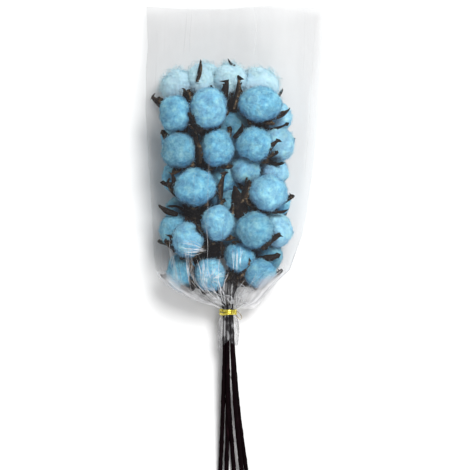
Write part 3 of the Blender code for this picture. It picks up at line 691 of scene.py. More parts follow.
def crease_material(name, colour, alpha, roughness):
    """A crease in the film, where it turns milky and carries a painted highlight, or where it carries painted
    shade.
    """
    made, tree, shader = new_material(name)
    patchy = noise(tree, stretched(tree, (1, 1, 1)), 160.0, 3.0, 0.6)
    share = add_node(tree, "ShaderNodeMapRange")
    share.inputs["From Min"].default_value = 0.3
    share.inputs["From Max"].default_value = 0.65
    share.inputs["To Min"].default_value = alpha * 0.35
    share.inputs["To Max"].default_value = alpha
    tree.links.new(patchy, share.inputs["Value"])
    tree.links.new(share.outputs["Result"], shader.inputs["Alpha"])
    tree.links.new(ramp(tree, patchy, [(0.2, tuple(0.8 * c for c in colour)), (0.8, colour)]),
                   shader.inputs["Base Color"])
    shader.inputs["Roughness"].default_value = roughness
    return made


def foil_look(name, stops):
    return patterned(name, (1, 1, 1), (600.0,), stops, ((1500.0, 3.0), 0.4, 0.0003),
                     Metallic=0.7, Roughness=0.28)


def tie_looks():
    """The tie's gold, and the paler colour of its tail."""
    return [foil_look("gold_foil", [(0.35, (0.22, 0.15, 0.01)), (0.5, (0.75, 0.62, 0.06)),
                                    (0.68, (1.0, 0.92, 0.3))]),
            foil_look("tail_foil", [(0.35, (0.2, 0.15, 0.09)), (0.5, (0.55, 0.48, 0.34)),
                                    (0.68, (0.85, 0.8, 0.66))])]


def floor_look():
    return patterned("pale_floor", (1, 1, 1), (3.0,), [(0.0, (0.93, 0.93, 0.93)), (1.0, (0.95, 0.95, 0.95))],
                     None, Roughness=0.9, Specular_IOR_Level=0.1)


# Cotton


def cotton_form(one, local, seed):
    """The cotton's reach, as a share of the boll's ellipsoid: locks, grooves and soft lumps."""
    turn = np.arctan2(local[:, 1], local[:, 0]) - math.radians(one.claws[0][0])
    groove = (0.5 - 0.5 * np.cos(LOCKS * turn)) ** 3 * np.sqrt(1 - np.clip(local[:, 2], -1, 1) ** 2)
    dimple = np.clip((local[:, 2] - 0.82) / 0.18, 0, 1) ** 2
    rng = np.random.default_rng(seed)
    lump = sum(np.sin(3.2 * local @ rng.normal(size=3) + rng.uniform(0, 6)) for _ in range(4)) / 4
    return 1 - LOCK_DEPTH * np.maximum(groove, dimple) - LUMP_DEPTH * (0.5 + 0.5 * lump)


def combed(places, rng, wavelength, stretch):
    """Ridged noise from 0 to 1, drawn out along one way like combed fibres."""
    axis = unit(rng.normal(size=3))
    drawn = places - axis * ((places @ axis) * (1 - 1 / stretch))[..., None]
    return 1 - np.minimum(1, 1.6 * np.abs(waves(drawn, rng, wavelength, 14)))


def cotton_distance(index, limits):
    """A function that gives how far the boll's fluff reaches in any direction."""
    one = BOLLS[index]
    normals, depths = limits
    axes = np.array(boll_axes(one))
    fill = 1.0 if index < FRONT_BOLLS else PALE_FILL if index in PAINTED_LIGHT_BOLLS["pale"] else BACK_FILL

    def distance(ways):
        rng = np.random.default_rng(FLUFF_SEED + index)
        full = reach(one, ways) * fill * (0.35 + 0.65 * cotton_form(one, ways @ axes.T, index))
        if len(depths):
            slant = ways @ normals.T
            allowed = np.where(slant > 1e-3, depths / np.maximum(slant, 1e-3), 1e3).min(1) + 0.3
            near = np.clip((allowed - full) / 2.4 + 0.5, 0, 1)
            full = full * near + allowed * (1 - near) - 0.6 * near * (1 - near)
        places = ways * full[:, None]
        blend = np.clip(0.5 + 1.2 * waves(places, rng, 22.0, 6), 0, 1)
        tuft = (blend * combed(places, rng, 4.6, 3.0) + (1 - blend) * combed(places, rng, 4.6, 3.0))
        puff = 1 - np.minimum(1, 1.5 * np.abs(waves(places, rng, 11.0, 12)))
        return full + 0.3 - 1.3 * puff ** 2 - 0.8 * tuft ** 1.5

    return distance


def painted_shade_depth(one, ways, reached):
    """How much painted shade darkens the cotton: at a boll's base, which faces away from the light, and where
    its fluff is pressed in against other pieces, where shade falls.
    """
    base = np.clip(0.25 - 0.75 * (ways @ one.faces), 0, 1)
    pressed = np.clip((0.93 - reached / reach(one, ways)) / 0.22, 0, 1)
    return DEPTH_SHADE * np.maximum(base, pressed)


def fibre_paths(one, distance, count, rng, wild, far):
    """Curved ways over the fluff, step by step: their points, outward ways and depths of painted shade."""
    at = unit(rng.normal(size=(count, 3)))
    swirl = np.stack([waves(at * 17, rng, 15.0, 6) for _ in range(3)], 1)
    way = swirl * 1.3 + rng.normal(size=(count, 3)) * 0.6
    length = rng.uniform(*FIBRE_LENGTH, count)
    bend = rng.normal(0, 1.5, count)
    loose = rng.random(count)
    lift = np.where(loose < 0.5, rng.uniform(*CLOSE_LIFT, count), rng.uniform(*LOOSE_LIFT, count))
    fly = loose > 1 - wild
    lift = np.where(fly, far * rng.uniform(*WILD_LIFT, count), lift)
    length = np.where(fly, length * 0.75, length)
    turn = (bend / (FIBRE_STEPS - 1))[:, None]
    stride = (length / (FIBRE_STEPS - 1) / one.half.mean())[:, None]
    spots, outs, depths = [], [], []
    for s in np.linspace(0, 1, FIBRE_STEPS):
        arch = np.where(fly, s ** 1.3, math.sin(math.pi * min(1, 0.12 + 0.8 * s)))
        surface = distance(at)
        spots.append(one.centre + at * (surface - 0.35 + lift * arch)[:, None])
        outs.append(at)
        depths.append(painted_shade_depth(one, at, surface))
        way = unit(way - at * (way * at).sum(1)[:, None])
        way = way * np.cos(turn) + np.cross(at, way) * np.sin(turn)
        at = unit(at + way * stride)
    return pulled_inside(np.array(spots), one.centre, FILM + SLEEVE_GAP - 0.3), np.array(outs), depths


def fibre_ribbons(one, distance, count, rng, wild, far):
    """Fine curved fibres over the fluff: points, triangles, outward normals, tone numbers and
    depths of painted shade."""
    spots, outs, depths = fibre_paths(one, distance, count, rng, wild, far)
    along = unit(np.gradient(spots, axis=0))
    side = unit(np.cross(along, outs))
    roll = rng.uniform(-1.1, 1.1, count)[None, :, None]
    side = side * np.cos(roll) + outs * np.sin(roll)
    widths = rng.uniform(*FIBRE_HALF_WIDTH, count)[None, :] * np.array(FIBRE_TAPER)[:, None]
    left = spots + side * widths[..., None]
    right = spots - side * widths[..., None]
    flat = np.cross(along, side)
    flat *= np.sign((flat * outs).sum(-1, keepdims=True) + 1e-9)
    lean = unit(outs + 0.7 * flat)
    points = np.concatenate([left, right[:-1]]).reshape(-1, 3)
    normals = np.concatenate([lean, lean[:-1]]).reshape(-1, 3)
    number = np.arange(count)
    tone = rng.choice(len(FIBRE_TONES), count, p=FIBRE_TONES)
    triangles, tones = [], []
    for k in range(FIBRE_STEPS - 1):
        a, b = k * count + number, (k + 1) * count + number
        c = (FIBRE_STEPS + k) * count + number
        if k < FIBRE_STEPS - 2:
            d = c + count
            triangles += [np.stack([a, b, d], 1), np.stack([a, d, c], 1)]
            tones += [tone, tone]
        else:
            triangles.append(np.stack([a, b, c], 1))
            tones.append(tone)
    depths = np.concatenate([depths, depths[:-1]]).ravel()
    return points, np.vstack(triangles), normals, np.concatenate(tones), depths


def ball_template():
    """Directions and triangles of a fine round ball."""
    bm = bmesh.new()
    bmesh.ops.create_icosphere(bm, subdivisions=BALL_LEVEL, radius=1)
    ways = unit(np.array([v.co for v in bm.verts]))
    triangles = np.array([[v.index for v in f.verts] for f in bm.faces])
    bm.free()
    return ways, triangles


def vertex_normals(points, triangles):
    corners = points[triangles]
    flat = np.cross(corners[:, 1] - corners[:, 0], corners[:, 2] - corners[:, 0])
    normals = np.zeros_like(points)
    for k in range(3):
        np.add.at(normals, triangles[:, k], flat)
    return unit(normals)


def cotton(index, limits, ball, looks):
    one = BOLLS[index]
    distance = cotton_distance(index, limits)
    ways, triangles = ball
    surface = distance(ways)
    points = one.centre + ways * surface[:, None]
    points = pulled_inside(points, one.centre, FILM + SLEEVE_GAP)
    normals = unit(vertex_normals(points, triangles) * 0.85 + ways * 0.15)
    # The boll's painted light or shade picks its lighter or darker looks.
    shade = next((name for name, some in PAINTED_LIGHT_BOLLS.items() if index in some), "plain")
    count = FRONT_FIBRES if index < FRONT_BOLLS else BACK_FIBRES
    wild, far = WILD, 1.0
    if shade == "pale":
        count, wild, far = PALE_FIBRES, EXTRA_WILD, FAR_LIFT
    more, ribbons, outs, tones, depths = fibre_ribbons(one, distance, count,
                                                       np.random.default_rng(FIBRE_SEED + index), wild, far)
    name = f"cotton_{index + 1:02d}"
    mesh = mesh_from(name + "_fluff", np.vstack([points, more]),
                     np.vstack([triangles, ribbons + len(points)]), np.vstack([normals, outs]))
    # The depth value is painted shade, at the base and where the fluff is pressed in.
    set_value(mesh, "depth", np.concatenate([painted_shade_depth(one, ways, surface), depths]))
    place(name + "_fluff", mesh, looks[shade], "cotton", name)
    numbers = np.concatenate([np.ones(len(triangles)), tones])
    mesh.polygons.foreach_set("material_index", numbers.astype(np.int32))


# Stems and burrs

BARK, OUTSIDE, INSIDE = 0, 1, 2

# Claws that stand up beside a boll or out of its fluff: the boll's number, counted from 0, the
# root, the tip, the breadth, the barbs' lengths to the left and right of the tip, and which
# margin is rolled over to show its tan lining: -1 for the left, 1 for the right, 0 for neither.
LOOSE_CLAWS = (
    (0, (-1.5, 137, 54), (5, 168.5, 70), 0.62, (2.5, 6), 1),
    (0, (-5, 124, 42), (-3, 154, 50), 1.2, (2, 2), 0),
    (1, (-35, 113, 62), (-45.5, 134, 69), 1.35, (0, 0), 0),
    (1, (-10, 141, 56), (-7.5, 164, 66), 0.7, (9, 0), 0),
    (2, (-60.5, 53, 60), (-62, 73.5, 70), 0.62, (5, 6), 0),
    (2, (-14, 46, 60), (-11.5, 74, 70), 0.62, (5, 5), -1),
    (3, (5, 44, 58), (16, 66, 69), 1.05, (0, 3), 1),
    (3, (2, 28, 54), (1, 61, 61), 1.3, (1, 1), 0),
    (4, (-36, 83, 55), (-38, 106, 68), 0.85, (3, 6), 1),
    (5, (29, 89, 64), (42.5, 106, 70), 0.62, (2, 5), 0),
    (5, (-1, 108, 58), (9, 120, 67), 0.7, (2, 2), 0),
    (7, (-72, 138, 50), (-83, 149.5, 46), 0.6, (4, 5), 1),
    (9, (27, -3, 62), (45, 13, 69), 0.9, (3, 4), 0),
    (10, (-60, -6, 54), (-64, 12, 63), 0.75, (6, 1), 0),
    (3, (47, 43, 54), (55.5, 51.5, 58), 0.4, (3, 5), 0),
    (11, (4, -31, 50), (16, -12, 61), 0.85, (1, 3), 1),
    (11, (38, -34, 42), (45.5, -25, 47), 0.6, (6, 6), -1),
    (14, (1, -40, 38), (-8, -22, 46), 1.2, (0, 0), 0),
    (14, (4, -40, 39), (8, -20, 46), 1.2, (0, 0), -1),
    (17, (41, 34, 57), (53, 35, 55), 0.35, (0, 0), 0),
    (18, (-57, 31.5, 48), (-76, 39, 50), 0.7, (1, 1), 0),
    (19, (-64, -33, 32), (-74.5, -29.5, 31), 0.55, (2, 2), 0),
    (20, (-38, 164, 48), (-33.5, 184.5, 51), 0.5, (0, 1), 1),
    (21, (0, 180, 46), (-7.5, 185.5, 47), 0.3, (0, 0), 0),
    (34, (-5, 30, 52), (0, 55, 57), 0.85, (1, 2), 1),
    (34, (11, 29, 53), (8, 54, 58), 1.0, (1, 1), 0),
)
# Claws that are no more than a thin line: the boll's number and the claw's angle
THIN_CLAWS = {(24, 300)}
THIN_BREADTH = 0.4
KNOB_SPACING = 32
BARK_RISE = 0.2


def barbed(grid, side, barbs):
    """The grid with its rows near the tip drawn out into a barb on each side."""
    s = np.linspace(0, 1, len(grid))
    out = np.interp(s, (BARB_START, BARB_TOP, 1), (0, 1, 0))[:, None, None]
    w = np.linspace(-1, 1, FINE_ACROSS)[None, :, None]
    wing = np.where(w < 0, barbs[0], barbs[1]) * w * out
    return grid + wing * side


def fine_claw(one, angle, length, rng, breadth=1.0):
    """A boat-shaped claw: ridged and dark outside, smooth and tan inside, with a barbed point."""
    grid, out = claw_grid(one, angle, length, FINE_STATIONS, FINE_ACROSS, FINE_PROFILE, FINE_FLARE)
    middle = grid[:, FINE_ACROSS // 2][:, None]
    grid = middle + (grid - middle) * breadth
    s = np.linspace(0, 1, FINE_STATIONS)[:, None]
    onward = unit(np.gradient(out, axis=0))
    side = unit(grid[0, -1] - grid[0, 0])
    grid = barbed(grid, side, (BARB * length * rng.uniform(0.4, 1.3), BARB * length * rng.uniform(0.4, 1.3)))
    hook = np.clip((s - HOOK_START) / (1 - HOOK_START), 0, 1) ** 1.5 * HOOK_BACK * length
    grid = grid - onward[:, None] * hook[..., None]
    grid[..., 2] += FINE_BOW * max(one.faces[2], 0) * np.sin(math.pi * s)
    return claw_shell(one, grid, out, rng, 0)


def claw_shell(one, grid, out, rng, rolled):
    """The skin of a claw whose inner face lies near the grid: a tan inside and a dark outside.
    The margin that is rolled over is tan on both sides."""
    s = np.linspace(0, 1, len(grid))[:, None]
    w = np.linspace(-1, 1, FINE_ACROSS)[None, :]
    half = np.linalg.norm(grid[:, -1] - grid[:, 0], axis=1)[:, None] / 2
    hug = -1.5 * (np.minimum(half, CLAW_HALF_WIDTH) * w) ** 2 / one.half.mean()
    ruffle = 0.4 * np.sin(8 * s + 3 * w + rng.uniform(0, 6)) * s * np.abs(w)
    inner = grid + out[:, None] * (hug + ruffle)[..., None]
    body = np.interp(s, (0, 0.6, 0.9, 1), (1.0, 0.9, 0.6, 0.2))
    rib = 0.16 * np.cos(2.5 * math.pi * w) * np.interp(s, (0, 0.7, 1), (1, 0.6, 0))
    thick = (0.35 + 1.25 * (1 - w ** 2)) * body + rib + 0.08 * waves(grid, rng, 2.4, 10)
    outer = inner + out[:, None] * np.maximum(thick, 0.15)[..., None]
    inner, outer = (pulled_inside(g, one.centre, FILM + SLEEVE_GAP - 0.2) for g in (inner, outer))
    rings = np.concatenate([inner, outer[:, ::-1][:, 1:-1]], axis=1)
    points, triangles = loft(rings)
    sides = rings.shape[1]
    strip = triangles[:, 0] % sides
    is_ring = (triangles < len(rings) * sides).all(1)
    margin = {-1: (sides - 2, sides - 1), 0: (), 1: (FINE_ACROSS - 1, FINE_ACROSS)}[rolled]
    before_barbs = triangles[:, 0] // sides < BARB_START * len(rings) - 1
    tan = is_ring & ((strip < FINE_ACROSS - 1) | (np.isin(strip, margin) & before_barbs))
    return [(points, triangles[tan], INSIDE), (points, triangles[~tan], OUTSIDE)]


def fine_cup(one, rng):
    """The woody cup under a boll, knobbly and a little angular."""
    u, v, tip = boll_axes(one)
    turns = np.arange(CUP_SIDES) * 2 * math.pi / CUP_SIDES
    rings = []
    for angle in np.linspace(0.02, math.pi - 0.02, CUP_RINGS):
        radius = CUP_RADIUS * math.sin(angle) ** 0.8 * (1 + 0.07 * np.cos(5 * turns))
        height = CUP_HALF_HEIGHT * math.cos(angle)
        rings.append(base_of(one, CUP_HALF_HEIGHT + 0.4) + tip * height
                     + (u * np.cos(turns)[:, None] + v * np.sin(turns)[:, None]) * radius[:, None])
    rings = np.array(rings)
    rings = rings + tip * (0.25 * waves(rings, rng, 2.5, 10))[..., None]
    points, triangles = loft(rings)
    return points, triangles, OUTSIDE


def loose_claw(index, root, tip, breadth, barbs, rolled, rng):
    """A claw of this boll that stands up beside it, its ridged outside turned to the viewer."""
    one = BOLLS[index]
    root, tip = np.array(root, float), np.array(tip, float)
    s = np.linspace(0, 1, FINE_STATIONS)[:, None]
    way = unit(tip - root)
    away = unit(((root + tip) / 2 - one.centre) * [1, 1, 0])
    out = away * 0.5 + np.array([0, 0, 0.85])
    out = unit(out - way * (out @ way))
    side = np.cross(way, out)
    middle = root + (tip - root) * s - out * 1.2 * np.sin(math.pi * s) + away * 2.0 * s ** 4
    width = breadth * CLAW_HALF_WIDTH * np.interp(s, *FINE_PROFILE)
    w = np.linspace(-1, 1, FINE_ACROSS)[None, :, None]
    grid = barbed(middle[:, None] + side * width[..., None] * w, side, barbs)
    return claw_shell(one, grid, np.repeat(out[None], FINE_STATIONS, 0), rng, rolled)


def lobes(one, kept, rng):
    """Short burr lobes that hold the fluff where no claw does."""
    shapes = []
    taken = [angle for angle, _ in kept]
    for angle in np.arange(0, 360, LOBE_SPACING) + (taken[0] if taken else 0):
        apart = [abs((angle - other + 180) % 360 - 180) for other in taken]
        if not apart or min(apart) > LOBE_SPACING / 2:
            shapes += fine_claw(one, angle, LOBE_LENGTH * rng.uniform(0.85, 1.15), rng, LOBE_BREADTH)
    return shapes


def stem(number, claws, looks):
    rng = np.random.default_rng(WOOD_SEED + number)
    path = smooth_path(STEM_ROUTES[number], STEM_FINE_STEP)
    coarse = smooth_path(STEM_ROUTES[number], STEM_STEP)
    radii = np.linspace(STEM_RADIUS, STEM_TIP_RADIUS, len(path))
    walked = np.arange(len(path)) * STEM_FINE_STEP
    for place_at in np.arange(rng.uniform(4, KNOB_SPACING), walked[-1], KNOB_SPACING):
        radii += 0.3 * np.exp(-((walked - place_at - rng.uniform(-8, 8)) / 2.2) ** 2)
    shapes = [(*loft(tube_rings(path, radii + BARK_RISE, STEM_SIDES, rng, 0.13)), BARK)]
    for index, one in enumerate(BOLLS):
        if one.stem != number:
            continue
        stalk = stalk_path(one, coarse, STALK_FINE_POINTS)
        thick = np.interp(np.linspace(0, 1, STALK_FINE_POINTS), (0, 0.2, 0.75, 1), (1.7, 1.3, 1.25, 2.2))
        shapes.append((*loft(tube_rings(stalk, thick, STALK_SIDES, rng, 0.12)), BARK))
        shapes.append(fine_cup(one, rng))
        for angle, length in claws[index]:
            breadth = THIN_BREADTH if (index, angle) in THIN_CLAWS else 1.0
            shapes += fine_claw(one, angle, length, rng, breadth)
        shapes += lobes(one, claws[index], rng)
    for index, *form in LOOSE_CLAWS:
        if BOLLS[index].stem == number:
            shapes += loose_claw(index, *form, rng)
    points, triangles, numbers = merged(shapes)
    mesh = mesh_from(f"stem_{number}_wood", points, triangles)
    mesh.set_sharp_from_angle(angle=math.radians(60))
    place(f"stem_{number}_wood", mesh, looks, "bark", f"stem_{number}")
    mesh.polygons.foreach_set("material_index", numbers.astype(np.int32))


# Sleeve

FILM_COLUMNS = 320
# How far up the sleeve each stretch of rows ends, and how many rows it has
FILM_ROWS = ((-60, 36), (20, 64), (244, 64))
FILM_INSET = 0.25
FILM_VEIL = 0.06
FAN_CREASES = 190
CREASE_STEP = 1.6
CREASE_RISE = 0.12
CREASE_WIDTH = 0.75
# The loose corner of film: the line that it grows from, its outer edge and where that edge turns
DOG_EAR_HAZE = 0.75
DOG_EAR_STEPS = 9
DOG_EAR_ROOT = ((24, -53, 27.5), (4, -62, 25.5))
DOG_EAR_EDGE = ((27, -54.5, 24), (19.5, -63, 24), (5, -63.5, 24))
DOG_EAR_TURNS = (0, 0.45, 1)
DOG_EAR_BULGE = 1.6
# Where the film is milky: a spot beside the neck, as its middle in X and Y and how far it spreads
# each way, and the drawn-in stretches by the seams
MILKY_SPOT = (17, -51, 12, 7)
MILKY_BELOW = -24
MILKY_HAZE = 0.9
# Pleats that fan out from the neck: how many go round, how far they wander and how deep they are
PLEATS = ((17, 0.35, 1.5), (41, 0.6, 0.8), (90, 0.8, 0.3))
PLEAT_REACH, PLEAT_REACH_SPREAD = 46, 26
SKIRT_PLEATS = (7, 0.2, 1.1)
LONG_FOLDS = (5, 0.7, 0.55)
DEEPEST_FOLD, DEEPEST_PLEAT = 1.5, 4.0
# The ragged ends: where the film starts to lean towards them, and their heights across
RAGGED_ABOVE, RAGGED_BELOW = 200, -78
MOUTH_EDGE = ((-91, -55, -10, 10, 35, 60, 91), (242.6, 240.6, 240.6, 242.6, 244.0, 242.6, 240.8))
SKIRT_EDGE = ((-19, -15, -11, -6, -2, 2, 6), (-103, -105, -99, -95, -99, -101, -94))

# Creases that spread from a point where the film is pulled tight: the point, the first and last
# direction, the shortest and longest reach, and how many
STAR_CREASES = (
    ((-25, -33), (15, 75), (9, 20), 16),
    ((-25, -33), (75, 200), (6, 14), 9),
    ((-25, -33), (-60, 15), (5, 12), 9),
    ((-27, -5), (150, 195), (12, 30), 11),
    ((-11, -62), (95, 155), (10, 30), 16),
)
# Creases that run down side by side: the corners of their patch at its top and its foot, and how
# many
SIDE_CREASES = (
    ((-67, -43, 4), (-56, -38, -48), 30),
    ((-36, -20, -12), (-30, -18, -48), 9),
    ((-6, 8, 3), (-4, 5, -28), 7),
)
CREASE_THIN, CREASE_THICK = 0.22, 0.55

# Creases on the film's upper face: the places they run through, their width, and 1 for milky with a
# painted highlight, 2 for painted shade or 3 for a faint streak that is partly a painted highlight
TOP_CREASES = (
    # Across the boll above it
    (((-56, 4), (-47, 2), (-38, 0), (-28, -4)), 0.7, 1),
    (((-57, 0), (-47, -3), (-37, -3), (-27, -5)), 0.8, 1),
    (((-54, -4), (-45, -6), (-36, -5), (-28, -6)), 0.6, 1),
    (((-50, 6), (-40, 4), (-30, -2)), 0.5, 1),
    (((-52, -7), (-42, -9), (-33, -7)), 0.6, 1),
    # Over the stems and the neck
    (((-45, -45), (-32, -51), (-16, -60)), 1.0, 2),
    (((-52, -46), (-36, -53), (-18, -62)), 0.8, 1),
    (((-36, -43), (-25, -49), (-15, -58)), 0.8, 2),
    (((-30, -40), (-21, -46), (-14, -56)), 0.7, 1),
    (((-24, -40), (-19, -47), (-13, -58)), 1.0, 1),
    (((-15, -36), (-14, -46), (-12, -58)), 0.8, 1),
    (((-10, -34), (-11, -46), (-10, -60)), 1.1, 1),
    (((-6, -34), (-8, -46), (-8, -60)), 0.8, 2),
    (((-14, -51), (-9, -49), (-3, -51), (-2, -56), (-6, -61)), 0.8, 1),
    (((-14, -51), (-15, -56), (-11, -61)), 0.8, 1),
    (((-2, -36), (-3, -48), (-4, -60)), 0.8, 1),
    (((4, -38), (1, -48), (-2, -59)), 0.6, 2),
    (((-3, -52), (5, -55), (14, -60)), 0.9, 2),
    (((0, -48), (7, -53), (19, -61)), 0.6, 1),
    (((3, -35), (12, -43), (5, -51), (3, -36)), 0.7, 1),
    (((2, -44), (8, -50), (12, -57)), 0.5, 1),
    (((3, -37), (8, -43), (6, -48)), 4.5, 3),
    (((-16, -44), (-12, -52), (-9, -60)), 3.0, 3),
    (((-6, -40), (-6, -50), (-7, -60)), 2.6, 3),
    (((-12, -40), (-13, -49), (-11, -58)), 1.6, 2),
    (((-3, -42), (-5, -52), (-7, -62)), 1.4, 2),
    (((-19, -40), (-15, -47), (-11, -56)), 1.5, 2),
    # Over the right-hand low bolls
    (((2, -1), (2, -12), (1, -24)), 0.6, 1),
    (((5, 1), (6, -8), (4, -20)), 0.5, 1),
    (((-1, -2), (-1, -14), (-2, -24)), 0.6, 1),
    # Long soft folds over the bunch and the empty mouth
    (((-49, 242), (-50, 215), (-52, 188)), 1.4, 3),
    (((-44, 243), (-45, 218), (-46, 190)), 1.0, 3),
    (((-80, 236), (-79, 205), (-80, 170), (-82, 120)), 1.2, 3),
    (((-70, 240), (-71, 210), (-72, 178)), 0.9, 3),
    (((84, 238), (80, 205), (77, 160), (73, 110), (69, 60)), 1.8, 3),
    (((71, 240), (70, 205), (69, 165)), 1.1, 3),
    (((20, 243), (22, 215), (19, 186)), 1.2, 3),
    (((-25, 96), (-27, 60), (-27, 20), (-29, 5)), 0.7, 3),
    (((-40, 75), (-41, 60), (-41, 38)), 0.6, 3),
)


def film_rows():
    """The places along the sleeve: close together near the neck, where it is creased."""
    start, stretches = SLEEVE[-1].y, []
    for end, count in FILM_ROWS:
        stretches.append(np.linspace(start, end, count, endpoint=end == SLEEVE[0].y))
        start = end
    return np.concatenate(stretches)


def fold(turns, places, rng, folds, drift):
    """A wave of sharp folds round the sleeve, 0 in a valley and 1 on a ridge, that wanders."""
    wander = waves(np.stack([places * 0.3, turns * 12, 0 * turns], -1), rng, 34.0, 6) * drift
    phase = turns * folds / (2 * math.pi) + wander + rng.uniform(0, 1)
    return 1 - np.abs(2 * (phase - np.floor(phase)) - 1)


def film_form(rng):
    """The film's points, row by row, and what its haze follows: the place across, how strong the
    pleats are, their ridges, and where the skirt under the tie is."""
    rows = film_rows()
    turns = np.arange(FILM_COLUMNS) * 2 * math.pi / FILM_COLUMNS
    cut = section_at(rows[:, None])
    half = (cut.right - cut.left) / 2 - FILM_INSET
    centre = (cut.right + cut.left) / 2
    u = np.cos(turns)[None, :]
    bulge = (1 - np.abs(u) ** SECTION_POWER) ** cut.sharp
    above = np.sin(turns)[None, :] > 0
    z = cut.seam + np.where(above, cut.rise - FILM_INSET, FILM_INSET - cut.fall) * bulge
    x = centre + u * half
    z = np.maximum(z, FILM_INSET)
    y = np.broadcast_to(rows[:, None], x.shape)
    t = np.broadcast_to(turns[None, :], x.shape)
    # The pleats reach unevenly far into the bunch
    far = PLEAT_REACH + PLEAT_REACH_SPREAD * waves(np.stack([t * 9, 0 * t, 0 * t], -1), rng, 9.0, 5)
    fan = np.exp(-(np.clip(y - NECK_Y, 0, None) / np.maximum(far, 12)) ** 2)
    skirt = np.clip((NECK_Y - y) / 10, 0, 1)
    ridges = [fold(t, y, rng, count, drift) for count, drift, _ in PLEATS]
    room = np.clip((np.minimum(half, cut.rise) - 7) / 10, 0.06, 1)
    depth = fan * room * sum(deep * (1 - ridge) for (_, _, deep), ridge in zip(PLEATS, ridges))
    count, drift, deep = SKIRT_PLEATS
    depth += skirt * (deep * (1 - fold(t, y, rng, count, drift)) + 0.5 * (1 - ridges[1]))
    # Long soft folds over the bunch and the empty mouth
    count, drift, deep = LONG_FOLDS
    long_fold = fold(t, y, rng, count, drift)
    soft = waves(np.stack([x, y * 0.35, z], -1), rng, 42.0, 10)
    calm = np.clip((y + 20) / 60, 0, 1)
    depth += calm * (deep * (1 - long_fold) + 0.35 * (1 + np.clip(soft, -1, 1)))
    depth = np.clip(depth, 0, np.where(y > -48, DEEPEST_FOLD, DEEPEST_PLEAT))
    size = np.hypot(x - centre, z - cut.seam)
    shrink = 1 - depth / np.maximum(size, 6)
    x = centre + (x - centre) * shrink
    z = np.maximum(cut.seam + (z - cut.seam) * shrink, FILM_INSET)
    # Ragged ends
    top, foot = SLEEVE[0].y, SLEEVE[-1].y
    mouth = np.interp(x, *MOUTH_EDGE) - top
    y = y + mouth * np.clip((y - RAGGED_ABOVE) / (top - RAGGED_ABOVE), 0, 1)
    hem = np.interp(x, *SKIRT_EDGE) - foot
    y = y + hem * np.clip((RAGGED_BELOW - y) / (RAGGED_BELOW - foot), 0, 1)
    return np.stack([x, y, z], -1), u, fan, ridges[0], skirt


def film_haze(grid, u, fan, ridge, skirt, rng):
    """How cloudy the film is, point by point: on pleats, in the milky spot and by the seams."""
    x, y = grid[..., 0], grid[..., 1]
    crowd = np.clip(0.55 + 0.6 * waves(grid, rng, 9.0, 12), 0, 1)
    gather = np.clip(fan * (0.25 + 0.75 * ridge) * crowd - 0.15, 0, 1) * np.clip((-30 - y) / 25, 0, 1)
    middle_x, middle_y, wide, high = MILKY_SPOT
    milky = np.exp(-(((x - middle_x) / wide) ** 2 + ((y - middle_y) / high) ** 2))
    by_seam = np.clip((np.abs(u) - 0.6) / 0.25, 0, 1) * np.clip((MILKY_BELOW - y) / 10, 0, 1) * (1 - skirt)
    milky = MILKY_HAZE * np.maximum(milky, by_seam)
    return np.clip(gather * 0.5 + 0.12 * skirt * ridge + milky * (0.6 + 0.4 * ridge), 0, 1)


def film(looks):
    """The clear sleeve as one thin skin, with its creases and its loose corner."""
    rng = np.random.default_rng(FILM_SEED)
    grid, u, fan, ridge, skirt = film_form(rng)
    haze = film_haze(grid, u, fan, ridge, skirt, rng)
    flat, triangles = loft(grid, close_ends=False)
    strips, corner = creases(grid), dog_ear()
    points, faces, numbers = merged([(flat, triangles[:, ::-1], 0), *strips, corner])
    mesh = mesh_from("sleeve_film", points, faces)
    spread = np.zeros(len(points))
    spread[:haze.size] = haze.ravel()
    spread[-len(corner[0]):] = DOG_EAR_HAZE
    set_value(mesh, "gather", spread)
    place("sleeve_film", mesh, looks, "film", "sleeve")
    mesh.polygons.foreach_set("material_index", numbers.astype(np.int32))


def on_film(grid, rows, ys, turns):
    """Points on the film at these places along it and these turns round it."""
    r = np.interp(ys, rows, np.arange(len(rows)))
    c = (np.asarray(turns) / (2 * math.pi) * FILM_COLUMNS) % FILM_COLUMNS
    r0 = np.minimum(r.astype(int), len(rows) - 2)
    c0 = c.astype(int) % FILM_COLUMNS
    c1 = (c0 + 1) % FILM_COLUMNS
    a, b = (r - r0)[:, None], (c - np.floor(c))[:, None]
    return ((grid[r0, c0] * (1 - a) + grid[r0 + 1, c0] * a) * (1 - b)
            + (grid[r0, c1] * (1 - a) + grid[r0 + 1, c1] * a) * b)


def crease_strip(path, width, number):
    """A thin strip that follows a path on the film and tapers to nothing at both ends."""
    cut = section_at(path[:, 1])
    middle = np.stack([(cut.left + cut.right) / 2, path[:, 1], cut.seam + 0 * path[:, 0]], 1)
    outward = unit(path - middle)
    along = unit(np.gradient(path, axis=0))
    side = unit(np.cross(along, outward))
    t = np.linspace(0, 1, len(path))
    half = width / 2 * np.clip(np.minimum(t, 1 - t) * 5, 0.02, 1)[:, None]
    raised = path + outward * CREASE_RISE
    points = np.vstack([raised + side * half, raised - side * half])
    k = np.arange(len(path) - 1)
    n = len(path)
    return points, np.vstack([np.stack([k, k + 1, k + 1 + n], 1), np.stack([k, k + 1 + n, k + n], 1)]), number


def top_path(grid, rows, corners):
    """A path over the film's upper face through these places, seen from above."""
    flat = smooth_path([(x, y, 0) for x, y in corners], CREASE_STEP)
    x, y = flat[:, 0], flat[:, 1]
    cut = section_at(y)
    u = (x - (cut.left + cut.right) / 2) / ((cut.right - cut.left) / 2)
    return on_film(grid, rows, y, np.arccos(np.clip(u, -0.985, 0.985)))


